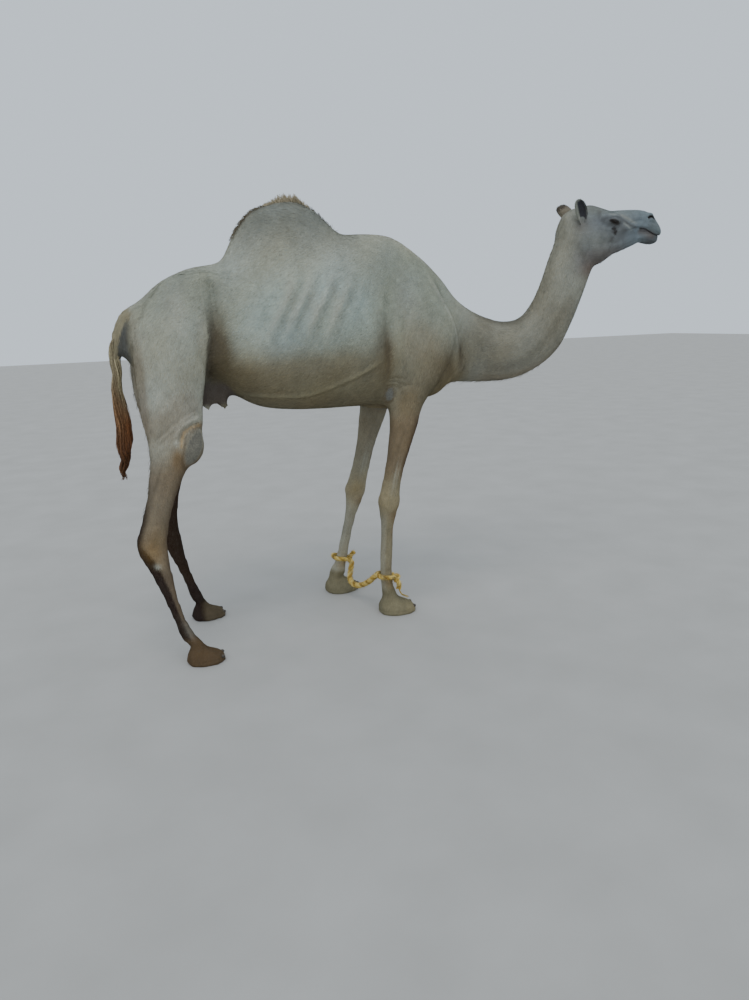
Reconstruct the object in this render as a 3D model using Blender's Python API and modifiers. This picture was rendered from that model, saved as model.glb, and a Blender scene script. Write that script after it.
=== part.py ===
"""A standing dromedary cow, life size, with a rope hobble on her front pasterns.

She faces +X, +Y is her left side and +Z is up; lengths are in metres. Places are measured from a
point on the ground under the middle of the barrel. At the end everything moves by
(-middle_x, -middle_y), which puts the origin on the ground under the middle of the whole animal.
"""
import math

import bmesh
import bpy
import numpy as np
from mathutils import Euler, Matrix, Vector

middle_x, middle_y = 0.5777, -0.0022
gap = 0.0004  # air between neighbouring pieces
body_voxel, head_voxel = 0.012, 0.0055
body_triangles, head_triangles = 2650, 880

# --- trunk: x, top, bottom, half width, egg (above 0 is narrower at the top) ---
trunk_slices = [
    (-0.800, 1.500, 1.380, 0.060, 0.00),
    (-0.765, 1.570, 1.320, 0.124, 0.10),
    (-0.700, 1.618, 1.270, 0.180, 0.24),
    (-0.613, 1.688, 1.255, 0.222, 0.30),
    (-0.500, 1.738, 1.285, 0.232, 0.28),
    (-0.420, 1.753, 1.262, 0.230, 0.22),
    (-0.350, 1.764, 1.192, 0.238, 0.18),
    (-0.275, 1.776, 1.138, 0.256, 0.16),
    (-0.190, 1.792, 1.102, 0.278, 0.14),
    (-0.060, 1.830, 1.083, 0.306, 0.12),
    (0.090, 1.865, 1.076, 0.318, 0.12),
    (0.230, 1.885, 1.075, 0.308, 0.16),
    (0.360, 1.892, 1.073, 0.275, 0.26),
    (0.480, 1.880, 1.076, 0.232, 0.36),
    (0.590, 1.820, 1.084, 0.205, 0.34),
    (0.700, 1.730, 1.100, 0.172, 0.22),
    (0.790, 1.600, 1.160, 0.120, 0.10),
]
# --- hump, in level slices: height, back x, front x, middle y, half width ---
hump_slices = [
    (1.600, -0.400, 0.360, 0.0, 0.215),
    (1.720, -0.365, 0.330, 0.0, 0.205),
    (1.800, -0.322, 0.300, 0.0, 0.185),
    (1.870, -0.284, 0.240, 0.0, 0.158),
    (1.930, -0.244, 0.168, 0.0, 0.128),
    (1.980, -0.194, 0.116, 0.0, 0.096),
    (2.015, -0.128, 0.074, 0.0, 0.066),
    (2.034, -0.070, 0.040, 0.0, 0.036),
    (2.040, -0.030, 0.012, 0.0, 0.012),
]
# --- neck: nape x, z, underside x, z, middle y, half width, egg ---
neck_slices = [
    (0.500, 1.860, 0.560, 1.086, 0.000, 0.195, 0.30),
    (0.620, 1.798, 0.640, 1.092, 0.000, 0.182, 0.26),
    (0.735, 1.698, 0.705, 1.110, 0.000, 0.160, 0.20),
    (0.830, 1.588, 0.780, 1.156, -0.002, 0.136, 0.16),
    (0.930, 1.520, 0.880, 1.157, -0.006, 0.117, 0.14),
    (1.047, 1.475, 1.020, 1.150, -0.012, 0.103, 0.12),
    (1.140, 1.462, 1.175, 1.159, -0.018, 0.096, 0.10),
    (1.225, 1.483, 1.325, 1.213, -0.022, 0.091, 0.10),
    (1.292, 1.552, 1.445, 1.304, -0.024, 0.088, 0.12),
    (1.345, 1.650, 1.524, 1.436, -0.024, 0.085, 0.14),
    (1.392, 1.770, 1.584, 1.558, -0.020, 0.081, 0.16),
    (1.434, 1.862, 1.637, 1.670, -0.015, 0.077, 0.14),
    (1.474, 1.938, 1.668, 1.745, -0.010, 0.070, 0.06),
    (1.506, 1.988, 1.645, 1.830, -0.008, 0.056, 0.00),
]
# --- hind leg, in level slices: height, back x, front x, middle y, half width, for the right leg ---
hind_right_slices = [
    (1.710, -0.585, -0.470, -0.098, 0.030),
    (1.640, -0.655, -0.444, -0.128, 0.058),
    (1.540, -0.722, -0.440, -0.156, 0.078),
    (1.430, -0.768, -0.452, -0.172, 0.088),
    (1.300, -0.774, -0.474, -0.178, 0.090),
    (1.180, -0.770, -0.496, -0.184, 0.084),
    (1.080, -0.764, -0.508, -0.194, 0.077),
    (1.000, -0.752, -0.524, -0.204, 0.070),
    (0.930, -0.754, -0.562, -0.212, 0.060),
    (0.860, -0.764, -0.612, -0.216, 0.053),
    (0.780, -0.778, -0.650, -0.216, 0.047),
    (0.700, -0.802, -0.682, -0.214, 0.043),
    (0.620, -0.832, -0.703, -0.212, 0.041),
    (0.565, -0.850, -0.712, -0.211, 0.040),
    (0.510, -0.838, -0.714, -0.216, 0.039),
    (0.440, -0.806, -0.710, -0.226, 0.034),
    (0.370, -0.779, -0.704, -0.236, 0.029),
    (0.290, -0.752, -0.694, -0.247, 0.027),
    (0.210, -0.728, -0.676, -0.260, 0.029),
    (0.150, -0.712, -0.652, -0.272, 0.033),
    (0.105, -0.700, -0.638, -0.280, 0.036),
]
# The left hind leg has the same slices, moved by these steps: height, x, half-way y.
hind_left_shift = [
    (1.710, 0.000, 0.098),
    (1.540, 0.000, 0.156),
    (1.180, 0.004, 0.182),
    (1.000, 0.028, 0.194),
    (0.780, 0.078, 0.192),
    (0.565, 0.090, 0.184),
    (0.370, 0.100, 0.188),
    (0.210, 0.108, 0.196),
    (0.105, 0.106, 0.200),
]
# --- front legs, in level slices: height, back x, front x, middle y, half width ---
fore_right_slices = [
    (1.740, 0.420, 0.580, -0.085, 0.045),
    (1.620, 0.420, 0.662, -0.124, 0.064),
    (1.480, 0.404, 0.744, -0.146, 0.078),
    (1.360, 0.390, 0.752, -0.154, 0.082),
    (1.250, 0.376, 0.704, -0.160, 0.078),
    (1.160, 0.372, 0.634, -0.168, 0.070),
    (1.070, 0.384, 0.562, -0.178, 0.060),
    (0.980, 0.384, 0.530, -0.184, 0.053),
    (0.850, 0.370, 0.480, -0.184, 0.045),
    (0.740, 0.349, 0.444, -0.182, 0.042),
    (0.650, 0.326, 0.428, -0.180, 0.045),
    (0.600, 0.318, 0.424, -0.178, 0.046),
    (0.540, 0.324, 0.408, -0.175, 0.041),
    (0.460, 0.330, 0.393, -0.169, 0.032),
    (0.340, 0.326, 0.390, -0.160, 0.030),
    (0.220, 0.325, 0.386, -0.150, 0.031),
    (0.150, 0.324, 0.398, -0.143, 0.038),
    (0.110, 0.322, 0.416, -0.138, 0.044),
]
fore_left_slices = [
    (1.740, 0.400, 0.560, 0.085, 0.045),
    (1.620, 0.395, 0.648, 0.124, 0.064),
    (1.480, 0.380, 0.724, 0.146, 0.078),
    (1.360, 0.370, 0.730, 0.154, 0.082),
    (1.250, 0.360, 0.680, 0.160, 0.078),
    (1.160, 0.358, 0.612, 0.168, 0.070),
    (1.070, 0.368, 0.540, 0.178, 0.061),
    (0.980, 0.360, 0.506, 0.184, 0.054),
    (0.850, 0.344, 0.448, 0.186, 0.046),
    (0.740, 0.316, 0.414, 0.184, 0.043),
    (0.650, 0.284, 0.388, 0.182, 0.045),
    (0.600, 0.266, 0.376, 0.181, 0.046),
    (0.540, 0.268, 0.358, 0.185, 0.041),
    (0.460, 0.264, 0.327, 0.196, 0.032),
    (0.340, 0.242, 0.298, 0.214, 0.029),
    (0.220, 0.214, 0.278, 0.232, 0.031),
    (0.150, 0.188, 0.268, 0.244, 0.038),
    (0.110, 0.176, 0.272, 0.250, 0.044),
]
# --- lumps under the skin: centre (the first two: on both sides), half sizes, tilt in degrees ---
paired_lumps = [
    ((-0.440, 0.140, 1.650), (0.090, 0.056, 0.070), 0),  # hip
    ((-0.735, 0.115, 1.445), (0.045, 0.045, 0.060), 0),  # seat bone
]
single_lumps = [
    ((0.420, 0.0, 1.088), (0.105, 0.085, 0.045), 0),  # chest pad
    ((-0.572, -0.212, 0.975), (0.058, 0.058, 0.085), 20),  # right stifle
    ((-0.538, 0.205, 0.975), (0.058, 0.058, 0.085), 20),  # left stifle
    ((0.388, -0.186, 1.140), (0.042, 0.040, 0.055), 0),  # right elbow
    ((0.372, 0.186, 1.130), (0.042, 0.040, 0.055), 0),  # left elbow
]
# --- feet: name, heel x, y, length, width, share of the full height, heading in degrees ---
feet = [
    ("foot_hind_right", -0.692, -0.290, 0.178, 0.146, 0.84, -6.0),
    ("foot_hind_left", -0.600, 0.206, 0.178, 0.146, 0.84, 6.0),
    ("foot_fore_right", 0.318, -0.134, 0.200, 0.172, 1.00, -4.0),
    ("foot_fore_left", 0.158, 0.256, 0.200, 0.172, 1.00, 14.0),
]
# A foot in level slices: height, how far the heel and the toe lie along its length, share of its width.
foot_slices = [
    (-0.014, 0.050, 0.940, 0.86),
    (0.010, 0.005, 1.000, 1.00),
    (0.026, 0.000, 0.970, 0.98),
    (0.042, 0.020, 0.850, 0.84),
    (0.058, 0.035, 0.680, 0.68),
    (0.080, 0.030, 0.520, 0.54),
    (0.110, 0.040, 0.440, 0.44),
    (0.140, 0.080, 0.400, 0.36),
]

# --- head, in its own frame: f forward from the poll, y to the left, z up ---
head_x, head_y, head_heading = 1.500, -0.010, -12.0
# f, top, bottom, half width, egg
skull_slices = [
    (-0.052, 1.930, 1.800, 0.040, 0.00),
    (-0.020, 1.992, 1.775, 0.060, 0.05),
    (0.025, 2.022, 1.765, 0.071, 0.12),
    (0.075, 2.033, 1.765, 0.078, 0.18),
    (0.130, 2.042, 1.775, 0.085, 0.10),
    (0.185, 2.027, 1.800, 0.094, -0.04),
    (0.235, 2.013, 1.822, 0.090, -0.08),
    (0.290, 2.015, 1.848, 0.070, 0.06),
    (0.350, 2.017, 1.874, 0.058, 0.16),
    (0.405, 2.016, 1.892, 0.054, 0.12),
    (0.445, 2.008, 1.897, 0.055, 0.05),
    (0.480, 1.988, 1.889, 0.052, 0.00),
    (0.506, 1.957, 1.882, 0.046, 0.00),
    (0.526, 1.930, 1.880, 0.036, 0.00),
    (0.538, 1.908, 1.886, 0.020, 0.00),
]
jaw_slices = [
    (0.085, 1.880, 1.756, 0.048, 0.00),
    (0.140, 1.890, 1.730, 0.062, -0.05),
    (0.200, 1.895, 1.747, 0.063, 0.05),
    (0.260, 1.900, 1.786, 0.056, 0.10),
    (0.320, 1.910, 1.809, 0.047, 0.10),
    (0.380, 1.918, 1.833, 0.042, 0.05),
    (0.418, 1.914, 1.849, 0.038, 0.00),
    (0.450, 1.903, 1.842, 0.039, 0.00),
    (0.487, 1.890, 1.838, 0.038, 0.00),
    (0.508, 1.882, 1.843, 0.032, 0.00),
    (0.522, 1.876, 1.856, 0.018, 0.00),
]
# lumps on both sides of the head: centre, half sizes, tilt in degrees
head_lumps = [
    ((0.150, 0.048, 1.835), (0.078, 0.030, 0.080), 0),  # cheek
    ((0.216, 0.080, 1.955), (0.062, 0.031, 0.036), 0),  # rim of the eye socket
    ((0.255, 0.064, 1.925), (0.070, 0.018, 0.018), 8),  # cheekbone
    ((0.455, 0.036, 1.973), (0.036, 0.020, 0.024), 25),  # wing of the nostril
    ((0.074, 0.054, 1.934), (0.034, 0.026, 0.034), 0),  # root of the ear
]
eye_centre, eye_radius = (0.222, 0.083, 1.948), 0.0215
eye_slit = (0.034, 0.030, 0.0105)  # half sizes of the opening between the lids
slit_depth = 0.022  # how far outside the eye's centre the opening lies
nostril, nostril_size = (0.460, 0.036, 1.970), (0.016, 0.024, 0.0045)
ear_base, ear_tip = (0.086, 0.072, 1.946), (0.006, 0.118, 2.054)
ear_width, ear_cup, ear_wall = 0.035, 0.021, 0.0055

# --- tail: x, z, radius of the dock, then of the switch ---
tail_dock = [
    (-0.735, 1.566, 0.031),
    (-0.772, 1.532, 0.029),
    (-0.806, 1.460, 0.026),
    (-0.827, 1.380, 0.026),
    (-0.833, 1.290, 0.029),
    (-0.833, 1.190, 0.031),
]
tail_switch = [
    (-0.833, 1.189, 0.032),
    (-0.836, 1.100, 0.034),
    (-0.840, 1.010, 0.036),
    (-0.846, 0.930, 0.031),
    (-0.856, 0.868, 0.019),
    (-0.862, 0.828, 0.007),
]

# --- hobble: a ring of rope round each front pastern and the length that hangs between them ---
rope_radius, link_radius = 0.011, 0.0140
ring_height, ring_slack = 0.205, 0.0030
link_route = [
    (0.2742, 0.1892, 0.1979),
    (0.2825, 0.1773, 0.1862),
    (0.270, 0.164, 0.150),
    (0.258, 0.146, 0.114),
    (0.258, 0.112, 0.091),
    (0.274, 0.062, 0.091),
    (0.294, 0.005, 0.118),
    (0.308, -0.050, 0.155),
    (0.3165, -0.0879, 0.1874),
    (0.3258, -0.1024, 0.1987),
]
# x, y, z and radius of the lumps of the knot, and of the rope's other end
knot_lumps = [
    (0.393, -0.190, 0.203, 0.021),
    (0.403, -0.196, 0.180, 0.016),
    (0.404, -0.193, 0.152, 0.012),
]
stub_lumps = [(0.292, 0.212, 0.212, 0.015), (0.303, 0.206, 0.230, 0.011)]

# --- udder: the bag's centre and half sizes, then the teats ---
udder_bag = ((-0.435, 0.0, 1.235), (0.118, 0.086, 0.092))
teat_x, teat_y, teat_z = (-0.462, -0.385), 0.042, 1.142
teat_size = (0.018, 0.016, 0.034)

# --- nails: half sizes, and where they sit as shares of a foot's length and width ---
nail_size = (0.017, 0.014, 0.012)
nail_along, nail_across, nail_height = 0.93, 0.20, 0.030

# --- where pieces part ---
neck_parts = (0.820, 1.160)  # x of the cuts across the neck
head_cut, head_lean = (1.560, 0.0, 1.800), 38.0  # a point of the cut and its tilt in degrees
knee_height, pastern_height = 0.660, 0.170
# leg, low x, high x, low y, high y, top
leg_boxes = (
    ("hind_right", -1.00, -0.45, -0.50, -0.02, 1.110),
    ("hind_left", -1.00, -0.40, 0.02, 0.50, 1.110),
    ("fore_right", 0.20, 0.75, -0.50, -0.02, 1.040),
    ("fore_left", 0.10, 0.75, 0.02, 0.50, 1.040),
)

for old in list(bpy.data.objects):
    bpy.data.objects.remove(old)
model = bpy.data.collections.new("dromedary_camel")
cutters = bpy.data.collections.new("cutters")
bpy.context.scene.collection.children.link(model)
bpy.context.scene.collection.children.link(cutters)


# ---------------------------------------------------------------- mesh helpers
def paint(name, colour, roughness):
    material = bpy.data.materials.new(name)
    material.use_nodes = True
    shader = material.node_tree.nodes["Principled BSDF"]
    shader.inputs["Base Color"].default_value = (*colour, 1.0)
    shader.inputs["Roughness"].default_value = roughness
    return material


def solid(name, points, faces):
    """An object from points and faces, with its faces turned outwards."""
    mesh = bpy.data.meshes.new(name)
    mesh.from_pydata([tuple(p) for p in points], [], faces)
    tidy = bmesh.new()
    tidy.from_mesh(mesh)
    bmesh.ops.recalc_face_normals(tidy, faces=tidy.faces)
    tidy.to_mesh(mesh)
    tidy.free()
    piece = bpy.data.objects.new(name, mesh)
    cutters.objects.link(piece)
    return piece


def smooth_rows(rows, steps):
    """The rows of numbers joined by a Catmull-Rom curve with this many steps from one to the next."""
    rows = np.array(rows, float)
    padded = np.vstack([2 * rows[0] - rows[1], rows, 2 * rows[-1] - rows[-2]])
    t = (np.arange(steps) / steps)[:, None]
    spans = []
    for a, b, c, d in zip(padded, padded[1:], padded[2:], padded[3:]):
        square, cube = 2 * a - 5 * b + 4 * c - d, 3 * b - a - 3 * c + d
        spans.append(b + 0.5 * ((c - a) * t + square * t**2 + cube * t**3))
    return np.vstack(spans + [rows[-1:]])


def tube_faces(rings, around):
    """Quads between successive rings of points, and a fan to a middle point at each end."""
    faces = []
    for i in range(rings - 1):
        for j in range(around):
            k = (j + 1) % around
            here, there = i * around, (i + 1) * around
            faces.append((here + j, here + k, there + k, there + j))
    first, last = rings * around, rings * around + 1
    for j in range(around):
        k = (j + 1) % around
        faces.append((first, k, j))
        faces.append((last, (rings - 1) * around + j, (rings - 1) * around + k))
    return faces


def loft(name, rows, around=28, steps=4, power=0.9):
    """A closed body through slices: each slice's two ends (x, z, x, z), middle y, half width, egg."""
    rows = smooth_rows(rows, steps)
    turn = np.arange(around) * 2 * math.pi / around
    up = np.sign(np.sin(turn)) * np.abs(np.sin(turn)) ** power
    side = np.sign(np.cos(turn)) * np.abs(np.cos(turn)) ** power
    first, second = rows[:, None, 0:2], rows[:, None, 2:4]
    flat = (first + second) / 2 + (first - second) / 2 * up[None, :, None]
    y = rows[:, 4, None] + rows[:, 5, None] * side * (1 - rows[:, 6, None] * up)
    points = np.stack([flat[:, :, 0], y, flat[:, :, 1]], axis=2)
    ends = [points[0].mean(axis=0), points[-1].mean(axis=0)]
    return solid(name, np.vstack([points.reshape(-1, 3), ends]), tube_faces(len(rows), around))


def upright(rows):
    """Slices given as x, top, bottom, half width, egg."""
    return [(x, top, x, bottom, 0.0, half, egg) for x, top, bottom, half, egg in rows]


def level(rows):
    """Slices given as height, back x, front x, middle y, half width."""
    return [(back, z, front, z, y, half, 0.0) for z, back, front, y, half in rows]


def from_shape(name, shape):
    """An object that holds a bmesh's shape."""
    mesh = bpy.data.meshes.new(name)
    shape.to_mesh(mesh)
    shape.free()
    piece = bpy.data.objects.new(name, mesh)
    cutters.objects.link(piece)
    return piece


def ball(name, centre, radii, turn=(0.0, 0.0, 0.0), segments=24):
    """An ellipsoid with these half sizes, turned by the angles in degrees."""
    rotation = Euler([math.radians(angle) for angle in turn]).to_matrix().to_4x4()
    place = Matrix.Translation(centre) @ rotation @ Matrix.Diagonal((*radii, 1.0))
    rows = segments // 2 + 2
    shape = bmesh.new()
    bmesh.ops.create_uvsphere(shape, u_segments=segments, v_segments=rows, radius=1.0, matrix=place)
    return from_shape(name, shape)


def block(name, low, high):
    """A box between two corners."""
    shape = bmesh.new()
    size, centre = Vector(high) - Vector(low), (Vector(high) + Vector(low)) / 2
    place = Matrix.Translation(centre) @ Matrix.Diagonal((*size, 1.0))
    bmesh.ops.create_cube(shape, size=1.0, matrix=place)
    return from_shape(name, shape)


def half_space(at, lean, size=0.6):
    """A block whose lower face passes through a point, its outward side leaning up by an angle."""
    shape = block("side", (-size, -size, 0.0), (size, size, 2 * size))
    turn = Matrix.Rotation(math.radians(90 - lean), 4, "Y")
    return moved(shape, Matrix.Translation(at) @ turn)


def moved(piece, matrix):
    piece.data.transform(matrix)
    if matrix.determinant() < 0:
        piece.data.flip_normals()
    return piece


def settled(piece):
    """The piece with its modifiers made into its mesh."""
    seen = piece.evaluated_get(bpy.context.evaluated_depsgraph_get())
    mesh = bpy.data.meshes.new_from_object(seen)
    piece.modifiers.clear()
    piece.data = mesh
    return piece


def joined(name, pieces):
    """One mesh that holds all the pieces; the pieces are removed."""
    shape = bmesh.new()
    for piece in pieces:
        shape.from_mesh(piece.data)
        bpy.data.objects.remove(piece)
    return from_shape(name, shape)


def net(mesh):
    """The mesh's points, and the two ends of each edge."""
    points = np.empty(len(mesh.vertices) * 3)
    mesh.vertices.foreach_get("co", points)
    ends = np.empty(len(mesh.edges) * 2, dtype=int)
    mesh.edges.foreach_get("vertices", ends)
    return points.reshape(-1, 3), ends.reshape(-1, 2).T


def neighbour_mean(points, ends):
    """For each point, the mean of the points that share an edge with it."""
    size = len(points)
    total = np.zeros_like(points)
    count = np.zeros(size)
    for here, there in (ends, ends[::-1]):
        count += np.bincount(here, minlength=size)
        for axis in range(3):
            total[:, axis] += np.bincount(here, points[there, axis], size)
    return total / count[:, None]


def relaxed(piece, rounds):
    """Smooths without shrinking: each round moves points towards their neighbours, then back."""
    points, ends = net(piece.data)
    for step in (0.52, -0.54) * rounds:
        points += step * (neighbour_mean(points, ends) - points)
    piece.data.vertices.foreach_set("co", points.ravel())
    piece.data.update()
    return piece


def creases_filled(piece, rounds):
    """Lets hollow places creep outwards, which rounds the creases where two shapes meet."""
    mesh = piece.data
    points, ends = net(mesh)
    normals = np.empty_like(points)
    for _ in range(rounds):
        mesh.vertex_normals.foreach_get("vector", normals.ravel())
        drift = neighbour_mean(points, ends) - points
        outwards = np.clip((drift * normals).sum(axis=1), 0, None)
        points += 0.5 * outwards[:, None] * normals
        mesh.vertices.foreach_set("co", points.ravel())
        mesh.update()
    return piece


def fleshed(name, pieces, voxel, triangles, rounds=8, filling=0):
    """The pieces grown into one smooth skin of about this many triangles."""
    whole = joined(name, pieces)
    remesh = whole.modifiers.new("skin", "REMESH")
    remesh.mode = "VOXEL"
    remesh.voxel_size = voxel
    creases_filled(settled(whole), filling)
    relaxed(whole, rounds)
    whole.modifiers.new("triangles", "TRIANGULATE")
    settled(whole)
    fewer = whole.modifiers.new("fewer", "DECIMATE")
    fewer.ratio = triangles / len(whole.data.polygons)
    return settled(whole)


def swollen(piece, amount):
    """A copy of the piece, grown outwards by this much."""
    copy = piece.copy()
    copy.data = piece.data.copy()
    cutters.objects.link(copy)
    normals = np.empty(len(copy.data.vertices) * 3)
    copy.data.vertex_normals.foreach_get("vector", normals)
    points = np.empty_like(normals)
    copy.data.vertices.foreach_get("co", points)
    copy.data.vertices.foreach_set("co", points + normals * amount)
    return copy


def shaped(target, tool, operation="DIFFERENCE"):
    """The target after a Boolean with the tool, which is removed."""
    step = target.modifiers.new("step", "BOOLEAN")
    step.operation = operation
    step.solver = "EXACT"
    step.object = tool
    settled(target)
    bpy.data.objects.remove(tool)
    return target


def parted(body, name, low, high):
    """Takes what lies between two corners off the body, as a piece of its own."""
    piece = body.copy()
    piece.data = body.data.copy()
    piece.name = name
    cutters.objects.link(piece)
    shaped(piece, block("part", low, high), "INTERSECT")
    wider = [Vector(low) - Vector((gap,) * 3), Vector(high) + Vector((gap,) * 3)]
    shaped(body, block("part", *wider))
    return piece


def finished(piece, name, material):
    """Names the piece as a node of the model, with its material and smooth shading."""
    piece.name = name
    piece.data.name = name
    piece.data.materials.clear()
    piece.data.materials.append(material)
    piece.data.shade_smooth()
    piece.data.set_sharp_from_angle(angle=math.radians(50))
    cutters.objects.unlink(piece)
    model.objects.link(piece)
    return piece


coat = paint("cream coat", (0.62, 0.55, 0.45), 0.85)
brown_coat = paint("brown coat", (0.16, 0.10, 0.07), 0.85)
switch_hair = paint("rust brown hair", (0.34, 0.16, 0.07), 0.75)
bare_skin = paint("grey skin", (0.20, 0.18, 0.17), 0.65)
eye_glass = paint("dark eye", (0.02, 0.013, 0.010), 0.08)
nail_horn = paint("nail horn", (0.23, 0.19, 0.15), 0.5)
yellow_rope = paint("yellow rope", (0.75, 0.50, 0.12), 0.8)


# ---------------------------------------------------------------- body
def hind_left_rows():
    """The right hind leg's slices, carried over to the left leg's own route."""
    heights, steps, middles = np.array(hind_left_shift[::-1]).T
    rows = []
    for z, back, front, _, half in hind_right_slices:
        step = np.interp(z, heights, steps)
        rows.append((z, back + step, front + step, np.interp(z, heights, middles), half))
    return rows


def stand(x, y, heading):
    """The frame of a foot or the head: its place, turned to its heading."""
    return Matrix.Translation((x, y, 0.0)) @ Matrix.Rotation(math.radians(heading), 4, "Z")


head_frame = stand(head_x, head_y, head_heading)


def foot_loft(name, heel_x, y, length, width, height, heading):
    """A broad padded foot: level slices from a flat sole up to the fetlock."""
    rows = []
    for z, heel, toe, share in foot_slices:
        rows.append((z * height, heel * length, toe * length, 0.0, share * width / 2))
    return moved(loft(name, level(rows), power=0.85), stand(heel_x, y, heading))


def lumps(table, sides=(1,)):
    """The ellipsoids of a table, on the given sides."""
    pieces = []
    for side in sides:
        for centre, radii, tilt in table:
            pieces.append(ball("lump", mirrored(centre, side), radii, (0, tilt, 0)))
    return pieces


def mirrored(point, side):
    return (point[0], side * point[1], point[2])


def make_body():
    """Everything of flesh but the head, as one skin whose feet are cut flat at the ground."""
    pieces = [
        loft("trunk", upright(trunk_slices), around=40),
        loft("hump", level(hump_slices)),
        loft("neck", neck_slices),
        loft("hind_right", level(hind_right_slices)),
        loft("hind_left", level(hind_left_rows())),
        loft("fore_right", level(fore_right_slices)),
        loft("fore_left", level(fore_left_slices)),
    ]
    pieces += lumps(single_lumps) + lumps(paired_lumps, sides=(-1, 1))
    pieces += [foot_loft(*foot) for foot in feet]
    body = fleshed("trunk", pieces, body_voxel, body_triangles, filling=40)
    return shaped(body, block("ground", (-2.0, -1.0, -0.2), (3.0, 1.0, 0.0)))


# ---------------------------------------------------------------- head
def make_head():
    """The head on the top of the neck, without ears and eyes, as one skin."""
    pieces = [
        loft("skull", upright(skull_slices), around=36),
        loft("jaw", upright(jaw_slices)),
    ]
    pieces += lumps(head_lumps, sides=(-1, 1))
    for piece in pieces:
        moved(piece, head_frame)
    neck_top = [row for row in neck_slices if row[0] > 1.29]
    pieces.append(loft("neck_top", neck_top))
    return fleshed("head", pieces, head_voxel, head_triangles, rounds=4, filling=12)


def make_ear(name, side):
    """A cupped leaf from base to tip, open to the side."""
    base, tip = Vector(mirrored(ear_base, side)), Vector(mirrored(ear_tip, side))
    axis = (tip - base).normalized()
    opening = Vector((0.08, side * 0.98, 0.15))
    opening = (opening - axis * opening.dot(axis)).normalized()
    across = axis.cross(opening)
    rings, arc = 8, 5
    swing = np.linspace(-1.9, 1.9, arc)
    points = []
    for i in range(rings):
        t = i / (rings - 1)
        swell = 0.42 + 0.58 * math.sin(math.pi * min(t * 1.15, 1.0) ** 0.8)
        wide = ear_width * swell * (1 - t**5) + 0.002
        cup = ear_cup * (wide / ear_width)
        middle = base.lerp(tip, t) - opening * 0.010 * math.sin(math.pi * t)
        wall = min(ear_wall, 0.6 * wide)
        for grow, order in ((0.0, swing), (wall, swing[::-1])):
            for angle in order:
                sideways = (wide - grow) * math.sin(angle)
                back = (cup - grow) * math.cos(angle)
                points.append(middle + across * sideways - opening * back)
    points = np.array(points).reshape(rings, 2 * arc, 3)
    # A fan's middle point lies in the wall, half-way between its outer and inner face.
    ends = [(ring[arc // 2] + ring[arc + arc // 2]) / 2 for ring in (points[0], points[-1])]
    return solid(name, np.vstack([points.reshape(-1, 3), ends]), tube_faces(rings, 2 * arc))


# ---------------------------------------------------------------- smaller pieces
def make_round(name, rows):
    """A round tapering length in the middle plane: x, z, radius; its slices lie across its route."""
    rows = np.array(rows)
    route = rows[:, :2]
    run = np.gradient(route, axis=0)
    run /= np.linalg.norm(run, axis=1)[:, None]
    normal = np.stack([-run[:, 1], run[:, 0]], axis=1)
    slices = []
    for place, side, radius in zip(route, normal, rows[:, 2]):
        slices.append((*(place - side * radius), *(place + side * radius), 0.0, radius, 0.0))
    return loft(name, slices, around=10, steps=2, power=1.0)


def make_udder():
    pieces = [ball("udder", *udder_bag)]
    for x in teat_x:
        for side in (-1, 1):
            pieces.append(ball("teat", (x, side * teat_y, teat_z), teat_size))
    return fleshed("udder", pieces, 0.009, 260, rounds=4)


def nail_places():
    """Two nails at the front of each foot, with the foot's heading."""
    places = []
    for name, heel_x, y, length, width, height, heading in feet:
        outer = math.copysign(1, y)
        for label, side in (("inner", -outer), ("outer", outer)):
            spot = (nail_along * length, side * nail_across * width, nail_height * height)
            nail_name = name.replace("foot", "nail") + "_" + label
            places.append((nail_name, name, stand(heel_x, y, heading) @ Vector(spot), heading))
    return places


def make_ring(name, rows):
    """A turn of rope round a front leg."""
    table = np.array(sorted(rows))
    back, front, y, half = (np.interp(ring_height, table[:, 0], table[:, k]) for k in range(1, 5))
    reach = rope_radius + ring_slack
    bpy.ops.mesh.primitive_torus_add(
        major_segments=22, minor_segments=6, major_radius=1.0, minor_radius=0.25, location=(0, 0, 0)
    )
    ring = bpy.context.object
    for holder in list(ring.users_collection):
        holder.objects.unlink(ring)
    cutters.objects.link(ring)
    for vertex in ring.data.vertices:
        angle = math.atan2(vertex.co.y, vertex.co.x)
        off = (math.hypot(vertex.co.x, vertex.co.y) - 1.0) / 0.25 * rope_radius
        x = (back + front) / 2 + ((front - back) / 2 * 0.97 + reach + off) * math.cos(angle)
        across = (half + reach + off) * math.sin(angle)
        vertex.co = (x, y + across, ring_height + vertex.co.z / 0.25 * rope_radius)
    ring.name = name
    return ring


def make_knot(name, table, ring, leg):
    """A knot or rope end against a ring, hollowed where the ring and the leg pass."""
    balls = [ball("lump", (x, y, z), (size,) * 3, segments=12) for x, y, z, size in table]
    knot = fleshed(name, balls, 0.004, 140, rounds=2)
    shaped(knot, swollen(ring, gap))
    return shaped(knot, swollen(leg, gap))


def make_link():
    """The hanging length of rope, as a tube through a smooth curve."""
    places = smooth_rows(link_route, 3)
    curve = bpy.data.curves.new("hobble_link", "CURVE")
    curve.dimensions = "3D"
    curve.bevel_depth = link_radius
    curve.bevel_resolution = 2
    curve.use_fill_caps = True
    spline = curve.splines.new("POLY")
    spline.points.add(len(places) - 1)
    for point, place in zip(spline.points, places):
        point.co = (*place, 1.0)
    link = bpy.data.objects.new("hobble_link", curve)
    model.objects.link(link)
    curve.materials.append(yellow_rope)
    return link


# ---------------------------------------------------------------- assembly
body = make_body()
head = make_head()

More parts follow.
